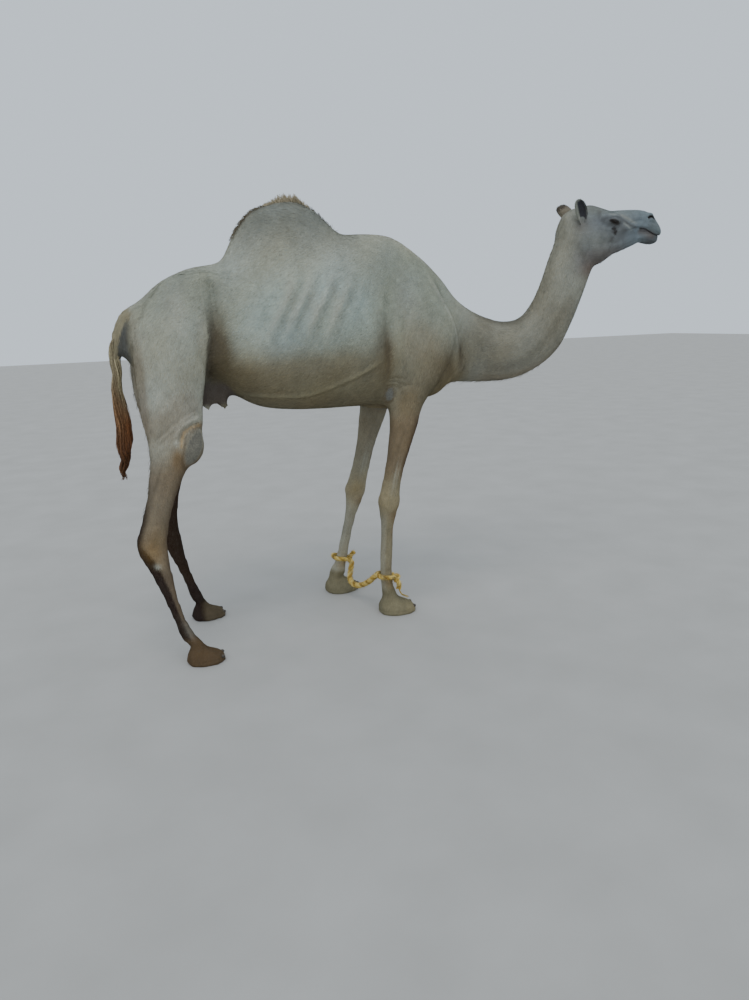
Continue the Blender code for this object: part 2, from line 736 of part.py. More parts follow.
# The head ends, and the neck begins, on a slanting plane behind the jaw.
lean = math.radians(head_lean)
half_gap = Vector((math.cos(lean), 0, math.sin(lean))) * gap / 2
shaped(head, half_space(Vector(head_cut) + half_gap, head_lean), "INTERSECT")
shaped(body, half_space(Vector(head_cut) - half_gap, head_lean))

# tail, in a socket in the rump
tail = make_round("tail", tail_dock)
switch = make_round("tail_switch", tail_switch)
moved(switch, Matrix.Translation((0, 0, -gap)))
shaped(body, swollen(tail, gap))

# udder, against the belly
udder = make_udder()
shaped(udder, swollen(body, gap))

# legs and neck parted from the trunk
lower_cut, upper_cut = neck_parts
flesh = {
    "neck_upper": parted(body, "neck_upper", (upper_cut, -0.5, 0.8), (1.90, 0.5, 2.2)),
    "neck_lower": parted(body, "neck_lower", (lower_cut, -0.5, 0.8), (upper_cut - gap, 0.5, 2.2)),
}
for label, low_x, high_x, low_y, high_y, top in leg_boxes:
    sections = (
        (f"leg_{label}_upper", knee_height, top),
        (f"leg_{label}_lower", pastern_height, knee_height - gap),
        (f"foot_{label}", -0.01, pastern_height - gap),
    )
    for name, low_z, high_z in sections:
        flesh[name] = parted(body, name, (low_x, low_y, low_z), (high_x, high_y, high_z))

nails = []
for nail_name, foot_name, spot, heading in nail_places():
    nail = ball(nail_name, spot, nail_size, (0, 25, heading), segments=8)
    shaped(flesh[foot_name], swollen(nail, gap))
    nails.append(nail)

eyes, ears = [], []
for side, label in ((1, "left"), (-1, "right")):
    centre = head_frame @ Vector(mirrored(eye_centre, side))
    eye = ball(f"eye_{label}", centre, (eye_radius,) * 3, segments=12)
    shaped(head, swollen(eye, gap))
    opening = (eye_centre[0], eye_centre[1] + slit_depth, eye_centre[2])
    slit = ball("slit", mirrored(opening, side), eye_slit, segments=12)
    shaped(head, moved(slit, head_frame))
    turn = (side * 35, 30, side * 20)
    hole = ball("nostril", mirrored(nostril, side), nostril_size, turn, segments=10)
    shaped(head, moved(hole, head_frame))
    ear = moved(make_ear(f"ear_{label}", side), head_frame)
    shaped(ear, swollen(head, gap))
    eyes.append(eye)
    ears.append(ear)

rings = [
    make_ring("hobble_ring_right", fore_right_slices),
    make_ring("hobble_ring_left", fore_left_slices),
]
knots = [
    make_knot("hobble_knot_right", knot_lumps, rings[0], flesh["leg_fore_right_lower"]),
    make_knot("hobble_end_left", stub_lumps, rings[1], flesh["leg_fore_left_lower"]),
]

finished(body, "trunk", coat)
finished(head, "head", coat)
finished(tail, "tail", coat)
finished(switch, "tail_switch", switch_hair)
finished(udder, "udder", bare_skin)
for name, piece in flesh.items():
    finished(piece, name, brown_coat if "hind" in name and "upper" not in name else coat)
for piece in nails:
    finished(piece, piece.name, nail_horn)
for piece in eyes:
    finished(piece, piece.name, eye_glass)
for piece in ears:
    finished(piece, piece.name, coat)
for piece in rings + knots:
    finished(piece, piece.name, yellow_rope)
make_link()

for piece in model.objects:
    piece.data.transform(Matrix.Translation((-middle_x, -middle_y, 0.0)))
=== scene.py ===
import math

import bmesh
import bpy
import numpy as np
from mathutils import Matrix, Vector


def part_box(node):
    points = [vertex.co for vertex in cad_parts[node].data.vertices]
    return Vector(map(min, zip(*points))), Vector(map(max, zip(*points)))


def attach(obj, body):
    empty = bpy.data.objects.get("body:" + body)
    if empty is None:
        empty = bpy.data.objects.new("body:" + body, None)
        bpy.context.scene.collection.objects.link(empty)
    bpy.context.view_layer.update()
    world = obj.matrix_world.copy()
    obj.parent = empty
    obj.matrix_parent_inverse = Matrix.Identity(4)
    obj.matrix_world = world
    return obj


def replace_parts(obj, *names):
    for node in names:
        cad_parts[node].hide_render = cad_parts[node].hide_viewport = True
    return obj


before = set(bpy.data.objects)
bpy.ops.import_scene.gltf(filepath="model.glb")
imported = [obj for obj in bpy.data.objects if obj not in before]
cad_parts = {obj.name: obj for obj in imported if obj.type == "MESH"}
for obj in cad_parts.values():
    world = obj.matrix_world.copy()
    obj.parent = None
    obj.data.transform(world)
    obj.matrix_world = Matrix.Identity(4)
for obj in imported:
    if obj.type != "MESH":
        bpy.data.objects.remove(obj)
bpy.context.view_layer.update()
rng = np.random.default_rng(7)

# Every place below is measured from the ground under the middle of the barrel, then moved here.
tailLow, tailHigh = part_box("tail")
barrel = np.array([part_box("neck_lower")[0].x - 0.820, (tailLow.y + tailHigh.y) / 2, 0.0])


def linked(name, data):
    piece = bpy.data.objects.new(name, data)
    bpy.context.scene.collection.objects.link(piece)
    return piece


# camera
view = {"place": (-0.949, -3.417, 1.51), "heading": 21.0, "tilt": 14.34, "roll": -1.9, "lens": 25.92}
turn = Matrix.Rotation(math.radians(-view["heading"]), 4, "Z")
turn = turn @ Matrix.Rotation(math.radians(90 - view["tilt"]), 4, "X")
turn = turn @ Matrix.Rotation(math.radians(view["roll"]), 4, "Z")
camera = linked("camera", bpy.data.cameras.new("camera"))
camera.matrix_world = Matrix.Translation(Vector(barrel) + Vector(view["place"])) @ turn
camera.data.lens = view["lens"]
camera.data.sensor_fit = "VERTICAL"
camera.data.sensor_height = 36
bpy.context.scene.camera = camera


# mesh helpers
def smoothRows(rows, steps):
    # rows of numbers joined by a Catmull-Rom curve: each span is a cubic of its four nearest rows
    rows = np.array(rows, float)
    padded = np.vstack([2 * rows[0] - rows[1], rows, 2 * rows[-1] - rows[-2]])
    a, b, c, d = padded[:-3, None], padded[1:-2, None], padded[2:-1, None], padded[3:, None]
    t = (np.arange(steps) / steps)[None, :, None]
    square, cube = 2 * a - 5 * b + 4 * c - d, 3 * b - a - 3 * c + d
    spans = b + 0.5 * ((c - a) * t + square * t**2 + cube * t**3)
    return np.vstack([spans.reshape(-1, rows.shape[1]), rows[-1:]])


def makePiece(name, points, faces):
    mesh = bpy.data.meshes.new(name)
    mesh.from_pydata(np.asarray(points).tolist(), [], [list(face) for face in faces])
    mesh.shade_smooth()
    return linked(name, mesh)


def gridFaces(rings, around):
    # quads between successive closed rings of points, as one array
    i, j = np.meshgrid(np.arange(rings - 1), np.arange(around), indexing="ij")
    k = (j + 1) % around
    quads = np.stack([i * around + j, i * around + k, (i + 1) * around + k, (i + 1) * around + j], axis=-1)
    return quads.reshape(-1, 4)


def capped(points):
    # a stack of rings (ring, around, 3) closed by a middle point at each end: points and faces
    rings, around = points.shape[:2]
    j = np.arange(around)
    k = (j + 1) % around
    first, last = rings * around, rings * around + 1
    below = np.stack([np.full(around, first), k, j], axis=1)
    above = np.stack([np.full(around, last), first - around + j, first - around + k], axis=1)
    flat = np.vstack([points.reshape(-1, 3), points[0].mean(axis=0), points[-1].mean(axis=0)])
    return flat, [*gridFaces(rings, around).tolist(), *below.tolist(), *above.tolist()]


def loft(rows, around=48, steps=6, power=0.9):
    # slices between two ends (x, z, x, z) with middle y, half width and egg; up runs along the slice
    # as a rounded sine, and y as a rounded cosine that the egg narrows towards the first end
    rows = smoothRows(rows, steps)
    angle = np.arange(around) * 2 * math.pi / around
    up = np.sign(np.sin(angle)) * np.abs(np.sin(angle)) ** power
    side = np.sign(np.cos(angle)) * np.abs(np.cos(angle)) ** power
    first, second = rows[:, None, 0:2], rows[:, None, 2:4]
    flat = (first + second) / 2 + (first - second) / 2 * up[None, :, None]
    y = rows[:, 4, None] + rows[:, 5, None] * side * (1 - rows[:, 6, None] * up)
    return capped(np.stack([flat[:, :, 0], y, flat[:, :, 1]], axis=2))


def upright(rows):
    return [(x, top, x, bottom, 0.0, half, egg) for x, top, bottom, half, egg in rows]


def level(rows):
    return [(back, z, front, z, y, half, 0.0) for z, back, front, y, half in rows]


def ball(rings, around):
    # x, y and z of a ball's latitude rings, without its poles
    latitude = np.linspace(-math.pi / 2, math.pi / 2, rings + 2)[1:-1, None]
    longitude = (np.arange(around) * 2 * math.pi / around)[None, :]
    out = np.cos(latitude)
    return out * np.cos(longitude), out * np.sin(longitude), np.sin(latitude) + 0 * longitude


def lump(centre, radii, tilt=0.0):
    # an ellipsoid, tilted about y by an angle in degrees
    x, y, z = (axis * radius for axis, radius in zip(ball(13, 24), radii))
    c, s = math.cos(math.radians(tilt)), math.sin(math.radians(tilt))
    points, faces = capped(np.stack([c * x + s * z, y, c * z - s * x], axis=2))
    points[-2:] = [(-s * radii[2], 0, -c * radii[2]), (s * radii[2], 0, c * radii[2])]
    return points + centre, faces


def stand(x, y, heading):
    # the place and the turn of a foot or the head: rows of a 3x3 matrix that turns row vectors
    c, s = math.cos(math.radians(heading)), math.sin(math.radians(heading))
    return np.array([x, y, 0.0]), np.array([[c, s, 0], [-s, c, 0], [0, 0, 1]])


def placed(shape, where):
    points, faces = shape
    return points @ where[1] + where[0], faces


def rowsOf(items, field, width=3, kind=float):
    # one field of all the items, a row each
    values = np.empty(len(items) * width, dtype=kind)
    items.foreach_get(field, values)
    return values.reshape(-1, width)


def net(mesh):
    # the mesh's points, and the two ends of each edge
    return rowsOf(mesh.vertices, "co"), rowsOf(mesh.edges, "vertices", 2, int).T


def normalsOf(mesh):
    return rowsOf(mesh.vertex_normals, "vector")


def setPoints(mesh, points):
    mesh.vertices.foreach_set("co", np.ascontiguousarray(points).ravel())
    mesh.update()


def neighbourMean(points, ends):
    total, count = np.zeros_like(points), np.zeros(len(points))
    for here, there in (ends, ends[::-1]):
        count += np.bincount(here, minlength=len(points))
        for axis in range(points.shape[1]):
            total[:, axis] += np.bincount(here, points[there, axis], len(points))
    return total / count[:, None]


def relax(mesh, rounds, steps=(0.52, -0.54), weight=None):
    # each round moves points towards their neighbours' mean, then back by a little more
    points, ends = net(mesh)
    amount = 1.0 if weight is None else weight[:, None]
    for step in steps * rounds:
        points += step * amount * (neighbourMean(points, ends) - points)
    setPoints(mesh, points)


def fillCreases(mesh, rounds):
    # hollow places creep outwards along their normals, which rounds the creases between shapes
    points, ends = net(mesh)
    for _ in range(rounds):
        normals = normalsOf(mesh)
        drift = neighbourMean(points, ends) - points
        points += 0.5 * np.clip((drift * normals).sum(axis=1), 0, None)[:, None] * normals
        setPoints(mesh, points)


def settle(piece):
    # the piece's modifiers made into its mesh
    seen = piece.evaluated_get(bpy.context.evaluated_depsgraph_get())
    mesh = bpy.data.meshes.new_from_object(seen)
    piece.modifiers.clear()
    piece.data = mesh
    return mesh


def joined(name, shapes):
    points, faces, start = [], [], 0
    for shapePoints, shapeFaces in shapes:
        points.append(shapePoints)
        faces += [[corner + start for corner in face] for face in shapeFaces]
        start += len(shapePoints)
    return makePiece(name, np.vstack(points), faces)


def fleshed(name, shapes, voxel, filling, rounds):
    # all the shapes grown into one smooth skin
    whole = joined(name, shapes)
    remesh = whole.modifiers.new("skin", "REMESH")
    remesh.mode = "VOXEL"
    remesh.voxel_size = voxel
    settle(whole)
    fillCreases(whole.data, filling)
    relax(whole.data, rounds)
    return whole
# trunk: x, top, bottom, half width, egg (above 0 is narrower at the top)
trunkSlices = [
    (-0.800, 1.500, 1.380, 0.060, 0.00),
    (-0.765, 1.570, 1.320, 0.124, 0.10),
    (-0.700, 1.618, 1.270, 0.180, 0.24),
    (-0.613, 1.688, 1.255, 0.222, 0.30),
    (-0.500, 1.738, 1.285, 0.232, 0.28),
    (-0.420, 1.753, 1.262, 0.230, 0.22),
    (-0.350, 1.764, 1.192, 0.238, 0.18),
    (-0.275, 1.776, 1.138, 0.256, 0.16),
    (-0.190, 1.792, 1.102, 0.278, 0.14),
    (-0.060, 1.830, 1.083, 0.306, 0.12),
    (0.090, 1.865, 1.076, 0.318, 0.12),
    (0.230, 1.885, 1.075, 0.308, 0.16),
    (0.360, 1.892, 1.073, 0.275, 0.26),
    (0.480, 1.880, 1.076, 0.232, 0.36),
    (0.590, 1.820, 1.084, 0.205, 0.34),
    (0.700, 1.730, 1.100, 0.172, 0.22),
    (0.790, 1.600, 1.160, 0.120, 0.10),
]
# hump, in level slices: height, back x, front x, middle y, half width
humpSlices = [
    (1.600, -0.400, 0.360, 0.0, 0.215),
    (1.720, -0.365, 0.330, 0.0, 0.205),
    (1.800, -0.322, 0.300, 0.0, 0.185),
    (1.870, -0.284, 0.240, 0.0, 0.158),
    (1.930, -0.244, 0.168, 0.0, 0.128),
    (1.980, -0.194, 0.116, 0.0, 0.096),
    (2.008, -0.128, 0.074, 0.0, 0.064),
    (2.024, -0.074, 0.040, 0.0, 0.036),
    (2.029, -0.034, 0.010, 0.0, 0.012),
]
# neck: nape x, z, underside x, z, middle y, half width, egg
neckSlices = [
    (0.500, 1.860, 0.560, 1.086, 0.000, 0.195, 0.30),
    (0.620, 1.798, 0.640, 1.092, 0.000, 0.182, 0.26),
    (0.735, 1.698, 0.705, 1.110, 0.000, 0.160, 0.20),
    (0.830, 1.588, 0.780, 1.156, -0.002, 0.136, 0.16),
    (0.930, 1.520, 0.880, 1.157, -0.006, 0.117, 0.14),
    (1.047, 1.475, 1.020, 1.150, -0.012, 0.103, 0.12),
    (1.140, 1.462, 1.175, 1.159, -0.018, 0.096, 0.10),
    (1.225, 1.483, 1.325, 1.213, -0.022, 0.091, 0.10),
    (1.292, 1.552, 1.445, 1.304, -0.024, 0.088, 0.12),
    (1.345, 1.650, 1.524, 1.436, -0.024, 0.085, 0.14),
    (1.392, 1.770, 1.584, 1.558, -0.020, 0.081, 0.16),
    (1.434, 1.862, 1.637, 1.670, -0.015, 0.077, 0.14),
    (1.474, 1.938, 1.668, 1.745, -0.010, 0.070, 0.06),
    (1.506, 1.988, 1.645, 1.830, -0.008, 0.056, 0.00),
]
# hind leg, in level slices: height, back x, front x, middle y, half width, for the right leg
hindRightSlices = [
    (1.710, -0.585, -0.470, -0.098, 0.030),
    (1.640, -0.655, -0.444, -0.128, 0.058),
    (1.540, -0.722, -0.440, -0.156, 0.078),
    (1.430, -0.768, -0.452, -0.172, 0.088),
    (1.300, -0.774, -0.474, -0.178, 0.090),
    (1.180, -0.770, -0.496, -0.184, 0.084),
    (1.080, -0.764, -0.508, -0.194, 0.077),
    (1.000, -0.752, -0.524, -0.204, 0.070),
    (0.930, -0.754, -0.562, -0.212, 0.060),
    (0.860, -0.764, -0.612, -0.216, 0.053),
    (0.780, -0.778, -0.650, -0.216, 0.047),
    (0.700, -0.802, -0.682, -0.214, 0.043),
    (0.620, -0.832, -0.703, -0.212, 0.041),
    (0.565, -0.850, -0.712, -0.211, 0.040),
    (0.510, -0.838, -0.714, -0.216, 0.039),
    (0.440, -0.806, -0.710, -0.226, 0.034),
    (0.370, -0.779, -0.704, -0.236, 0.029),
    (0.290, -0.752, -0.694, -0.247, 0.027),
    (0.210, -0.728, -0.676, -0.260, 0.029),
    (0.150, -0.712, -0.652, -0.272, 0.033),
    (0.105, -0.700, -0.638, -0.280, 0.036),
]
# The left hind leg has the same slices, moved by these steps: height, x, half-way y.
hindLeftShift = [
    (1.710, 0.000, 0.098),
    (1.540, 0.000, 0.156),
    (1.180, 0.004, 0.182),
    (1.000, 0.028, 0.194),
    (0.780, 0.078, 0.192),
    (0.565, 0.090, 0.184),
    (0.370, 0.100, 0.188),
    (0.210, 0.108, 0.196),
    (0.105, 0.106, 0.200),
]
# front legs, in level slices: height, back x, front x, middle y, half width
foreRightSlices = [
    (1.740, 0.420, 0.580, -0.085, 0.045),
    (1.620, 0.420, 0.662, -0.124, 0.064),
    (1.480, 0.404, 0.744, -0.146, 0.078),
    (1.360, 0.390, 0.752, -0.154, 0.082),
    (1.250, 0.376, 0.704, -0.160, 0.078),
    (1.160, 0.372, 0.634, -0.168, 0.070),
    (1.070, 0.384, 0.562, -0.178, 0.060),
    (0.980, 0.384, 0.530, -0.184, 0.053),
    (0.850, 0.370, 0.480, -0.184, 0.045),
    (0.740, 0.349, 0.444, -0.182, 0.042),
    (0.650, 0.326, 0.428, -0.180, 0.045),
    (0.600, 0.318, 0.424, -0.178, 0.046),
    (0.540, 0.324, 0.408, -0.175, 0.041),
    (0.460, 0.330, 0.393, -0.169, 0.032),
    (0.340, 0.326, 0.390, -0.160, 0.030),
    (0.220, 0.325, 0.386, -0.150, 0.031),
    (0.150, 0.330, 0.396, -0.143, 0.035),
    (0.110, 0.336, 0.412, -0.138, 0.040),
]
foreLeftSlices = [
    (1.740, 0.400, 0.560, 0.085, 0.045),
    (1.620, 0.395, 0.648, 0.124, 0.064),
    (1.480, 0.380, 0.724, 0.146, 0.078),
    (1.360, 0.370, 0.730, 0.154, 0.082),
    (1.250, 0.360, 0.680, 0.160, 0.078),
    (1.160, 0.358, 0.612, 0.168, 0.070),
    (1.070, 0.368, 0.540, 0.178, 0.061),
    (0.980, 0.360, 0.506, 0.184, 0.054),
    (0.850, 0.344, 0.448, 0.186, 0.046),
    (0.740, 0.316, 0.414, 0.184, 0.043),
    (0.650, 0.284, 0.388, 0.182, 0.045),
    (0.600, 0.266, 0.376, 0.181, 0.046),
    (0.540, 0.268, 0.358, 0.185, 0.041),
    (0.460, 0.264, 0.327, 0.196, 0.032),
    (0.340, 0.242, 0.298, 0.214, 0.029),
    (0.220, 0.214, 0.278, 0.232, 0.031),
    (0.150, 0.196, 0.266, 0.244, 0.035),
    (0.110, 0.192, 0.268, 0.250, 0.040),
]
# lumps under the skin: centre (the first two: on both sides), half sizes, tilt in degrees
pairedLumps = [
    ((-0.440, 0.140, 1.650), (0.090, 0.056, 0.070), 0),  # hip
    ((-0.735, 0.115, 1.445), (0.045, 0.045, 0.060), 0),  # seat bone
]
singleLumps = [
    ((0.420, 0.0, 1.088), (0.105, 0.085, 0.045), 0),  # chest pad
    ((-0.572, -0.212, 0.975), (0.058, 0.058, 0.085), 20),  # right stifle
    ((-0.538, 0.205, 0.975), (0.058, 0.058, 0.085), 20),  # left stifle
    ((0.388, -0.186, 1.140), (0.042, 0.040, 0.055), 0),  # right elbow
    ((0.372, 0.186, 1.130), (0.042, 0.040, 0.055), 0),  # left elbow
]
# feet: name, heel x, y, length, width, share of the full height, heading in degrees
feet = [
    ("foot_hind_right", -0.692, -0.290, 0.178, 0.146, 0.84, -6.0),
    ("foot_hind_left", -0.600, 0.206, 0.178, 0.146, 0.84, 6.0),
    ("foot_fore_right", 0.318, -0.134, 0.200, 0.172, 1.00, -4.0),
    ("foot_fore_left", 0.158, 0.256, 0.200, 0.172, 1.00, 14.0),
]
# A foot in level slices: height, how far the heel and the toe lie along its length, share of its width.
footSlices = [
    (-0.014, 0.050, 0.940, 0.86),
    (0.010, 0.005, 1.000, 1.00),
    (0.026, 0.000, 0.970, 0.98),
    (0.042, 0.012, 0.870, 0.86),
    (0.058, 0.045, 0.720, 0.70),
    (0.076, 0.100, 0.560, 0.52),
    (0.110, 0.130, 0.440, 0.40),
    (0.140, 0.140, 0.400, 0.34),
]

# head, in its own frame: f forward from the poll, y to the left, z up
headX, headY, headHeading = 1.500, -0.010, -12.0
# f, top, bottom, half width, egg
skullSlices = [
    (-0.052, 1.930, 1.800, 0.040, 0.00),
    (-0.020, 1.992, 1.775, 0.060, 0.05),
    (0.025, 2.022, 1.765, 0.071, 0.12),
    (0.075, 2.033, 1.765, 0.078, 0.18),
    (0.130, 2.042, 1.775, 0.085, 0.10),
    (0.185, 2.027, 1.800, 0.094, -0.04),
    (0.235, 2.013, 1.822, 0.090, -0.08),
    (0.290, 2.015, 1.848, 0.070, 0.06),
    (0.350, 2.017, 1.874, 0.058, 0.16),
    (0.405, 2.016, 1.892, 0.054, 0.12),
    (0.445, 2.008, 1.897, 0.055, 0.05),
    (0.480, 1.988, 1.889, 0.052, 0.00),
    (0.506, 1.957, 1.882, 0.046, 0.00),
    (0.526, 1.930, 1.880, 0.036, 0.00),
    (0.538, 1.908, 1.886, 0.020, 0.00),
]
jawSlices = [
    (0.085, 1.880, 1.756, 0.048, 0.00),
    (0.140, 1.890, 1.730, 0.062, -0.05),
    (0.200, 1.895, 1.747, 0.063, 0.05),
    (0.260, 1.900, 1.786, 0.056, 0.10),
    (0.320, 1.910, 1.809, 0.047, 0.10),
    (0.380, 1.918, 1.833, 0.042, 0.05),
    (0.418, 1.914, 1.849, 0.038, 0.00),
    (0.450, 1.903, 1.842, 0.039, 0.00),
    (0.487, 1.890, 1.838, 0.038, 0.00),
    (0.508, 1.882, 1.843, 0.032, 0.00),
    (0.522, 1.876, 1.856, 0.018, 0.00),
]
# lumps on both sides of the head: centre, half sizes, tilt in degrees
headLumps = [
    ((0.150, 0.048, 1.835), (0.078, 0.030, 0.080), 0),  # cheek
    ((0.216, 0.080, 1.955), (0.062, 0.031, 0.036), 0),  # rim of the eye socket
    ((0.255, 0.064, 1.925), (0.070, 0.018, 0.018), 8),  # cheekbone
    ((0.455, 0.036, 1.973), (0.036, 0.020, 0.024), 25),  # wing of the nostril
    ((0.062, 0.050, 1.928), (0.026, 0.020, 0.027), 0),  # root of the ear
]
eyeCentre, eyeRadius = (0.222, 0.083, 1.948), 0.0215
nostril = (0.460, 0.036, 1.970)
earBase, earTip = (0.064, 0.072, 1.942), (0.006, 0.118, 2.054)
earOpening = (0.08, 0.98, 0.15)
earWidth, earCup, earWall, earBow = 0.034, 0.021, 0.0055, 0.014

# tail: x, z, radius of the dock, then of the switch below it
tailDock = [
    (-0.735, 1.566, 0.031),
    (-0.777, 1.536, 0.029),
    (-0.816, 1.468, 0.024),
    (-0.834, 1.388, 0.020),
    (-0.838, 1.296, 0.016),
    (-0.836, 1.190, 0.014),
]
tailSwitch = [
    (-0.838, 1.010, 0.036),
    (-0.846, 0.930, 0.032),
    (-0.854, 0.868, 0.020),
    (-0.861, 0.822, 0.008),
]

# udder: the bag's centre and half sizes, then the teats
udderBag = ((-0.435, 0.0, 1.235), (0.118, 0.086, 0.092))
teatX, teatY, teatZ = (-0.462, -0.385), 0.044, 1.146
teatSize = (0.025, 0.022, 0.040)


# the skin's shapes
headPlace = stand(headX, headY, headHeading)
# the tail and the hind legs lie behind these x, the neck before one, and the head above a height
tailStart, hindStart, neckStart, headLow = -0.79, -0.30, 0.80, 1.70
skinMake = {
    "body": (0.0182, 26, 8), "head": (0.0054, 60, 30), "ear": (0.0030, 0, 4),  # voxel, filling, smoothing
    "neckCut": (1.560, 0.0, 1.800), "neckLean": 38.0,  # where the head's fine mesh meets the body's
    "seamHalf": 0.006, "seamBlend": 0.045,
    "coatBody": 0.0028, "coatFine": 0.0015,  # how far the skin lies under the coat's tips
}


def legAt(slices, heights):
    # back, front, middle and half width of a leg at these heights
    rows = np.array(sorted(map(tuple, slices)))
    return [np.interp(heights, rows[:, 0], rows[:, column]) for column in range(1, 5)]


def leftSteps(heights):
    # how far the left hind leg stands before the right one, and its middle
    table, *columns = np.array(hindLeftShift[::-1]).T
    return [np.interp(heights, table, column) for column in columns]


def hindLeftRows():
    rows = np.array(hindRightSlices)
    shift, middle = leftSteps(rows[:, 0])
    return np.stack([rows[:, 0], rows[:, 1] + shift, rows[:, 2] + shift, middle, rows[:, 4]], axis=1)


def footShape(heelX, y, length, width, height, heading):
    rows = [(z * height, heel * length, toe * length, 0.0, share * width / 2)
            for z, heel, toe, share in footSlices]
    return placed(loft(level(rows), power=0.85), stand(heelX, y, heading))


def roundShape(rows):
    # a round length in the middle plane (x, z, radius), its slices across its own route
    rows = np.array(rows)
    run = np.gradient(rows[:, :2], axis=0)
    run /= np.linalg.norm(run, axis=1)[:, None]
    normal = np.stack([-run[:, 1], run[:, 0]], axis=1) * rows[:, 2:3]
    ends = np.hstack([rows[:, :2] - normal, rows[:, :2] + normal])
    return loft(np.hstack([ends, 0 * rows[:, :1], rows[:, 2:3], 0 * rows[:, :1]]), 20, 5, 1.0)


def lumpsOf(table, sides=(1,)):
    return [lump(np.multiply(centre, (1, side, 1)), radii, tilt)
            for side in sides for centre, radii, tilt in table]


def bodyShapes():
    shapes = [
        loft(upright(trunkSlices), around=64),
        loft(level(humpSlices)),
        loft(neckSlices),
        loft(level(hindRightSlices)),
        loft(level(hindLeftRows())),
        loft(level(foreRightSlices)),
        loft(level(foreLeftSlices)),
        roundShape(tailDock),
        lump(*udderBag),
    ]
    for x in teatX:
        shapes += [lump((x, side * teatY, teatZ), teatSize) for side in (-1, 1)]
    shapes += lumpsOf(singleLumps) + lumpsOf(pairedLumps, (-1, 1))
    shapes += [footShape(*foot[1:]) for foot in feet]
    return shapes + [placed(loft(upright(rows)), headPlace) for rows in (skullSlices, jawSlices)]


def headShapes():
    shapes = [loft(upright(skullSlices), around=72), loft(upright(jawSlices))]
    shapes += lumpsOf(headLumps, (-1, 1))
    shapes = [placed(shape, headPlace) for shape in shapes]
    return shapes + [loft([row for row in neckSlices if row[0] > 1.22])]


def earFrame(side):
    # an ear's base and tip, the way it points and the way it opens, and its length
    base, tip, opening = (np.multiply(place, (1, side, 1)) for place in (earBase, earTip, earOpening))
    reach = np.linalg.norm(tip - base)
    axis = (tip - base) / reach
    opening = opening - axis * (opening @ axis)
    return base, tip, axis, opening / np.linalg.norm(opening), reach


def earShape(side):
    # a cupped leaf: rings round a bowed midline; each ring is an outer arc and, a wall's thickness
    # inside it, the inner arc back; the width swells from the base and closes at the tip
    base, tip, axis, opening, _ = earFrame(side)
    across = np.cross(axis, opening)
    t = np.sin(np.linspace(0, math.pi / 2, 34))[:, None] * 0.996
    swell = 0.50 + 0.50 * np.sin(math.pi / 2 * np.minimum(t / 0.45, 1.0))
    wide = earWidth * swell * np.sqrt(1 - np.clip((t - 0.5) / 0.5, 0, 1) ** (2.4 if side < 0 else 5.0))
    wall = np.minimum(earWall, 0.5 * wide)
    swing = np.linspace(-1.9, 1.9, 22)[None, :]
    rings = []
    for grow, order in ((0.0, swing), (1.0, swing[:, ::-1])):
        sideways = (wide - grow * wall) * np.sin(order)
        back = (earCup * wide / earWidth - grow * wall) * np.cos(order)
        bow = np.sin(math.pi * t)
        middle = base + (tip - base) * t - opening * 0.010 * bow + np.array([earBow, 0, 0]) * bow
        rings.append(middle[:, None] + sideways[..., None] * across - back[..., None] * opening)
    points, faces = capped(np.concatenate(rings, axis=1))
    for end, ring in ((-2, 0), (-1, -1)):  # a fan's middle point lies in the wall
        points[end] = (rings[0][ring, 11] + rings[1][ring, 11]) / 2
    if side > 0:
        faces = [face[::-1] for face in faces]
    return placed((points, faces), headPlace)


def united(target, tool):
    step = target.modifiers.new("union", "BOOLEAN")
    step.operation = "UNION"
    step.solver = "EXACT"
    step.object = tool
    settle(target)
    bpy.data.objects.remove(tool)


def cutSide(shape, mesh, place, normal):
    # adds what lies on the normal's side of a plane to the bmesh
    part = bmesh.new()
    part.from_mesh(mesh)
    geometry = part.verts[:] + part.edges[:] + part.faces[:]
    bmesh.ops.bisect_plane(part, geom=geometry, plane_co=place, plane_no=normal, clear_inner=True)
    cut = bpy.data.meshes.new("cut")
    part.to_mesh(cut)
    part.free()
    shape.from_mesh(cut)


def makeSkin():
    body = fleshed("body", bodyShapes(), *skinMake["body"])
    head = fleshed("head", headShapes(), *skinMake["head"])
    for side in (-1, 1):
        united(head, fleshed("ear", [earShape(side)], *skinMake["ear"]))
    print("body", len(body.data.polygons), "head", len(head.data.polygons))
    lean = math.radians(skinMake["neckLean"])
    normal, place = Vector((math.cos(lean), 0, math.sin(lean))), Vector(skinMake["neckCut"])
    for reach in (0.075, 0.035):  # the body's mesh becomes as fine as the head's at the seam
        refine(body.data, lambda p: (np.abs((p - place) @ normal) < reach) & (p[:, 0] > 1.30))
    relax(body.data, 3)
    shape = bmesh.new()
    cutSide(shape, body.data, place - normal * skinMake["seamHalf"], -normal)
    cutSide(shape, head.data, place + normal * skinMake["seamHalf"], normal)
    bmesh.ops.bridge_loops(shape, edges=[edge for edge in shape.edges if edge.is_boundary])
    bmesh.ops.recalc_face_normals(shape, faces=shape.faces)
    mesh = bpy.data.meshes.new("skin")
    shape.to_mesh(mesh)
    shape.free()
    for old in (body, head):
        bpy.data.objects.remove(old)
    skin = linked("skin", mesh)
    points, _ = net(mesh)
    near = np.exp(-(((points - place) @ normal) / skinMake["seamBlend"]) ** 2)
    relax(mesh, 40, (0.5,), near * (points[:, 0] > 1.30))
    return skin


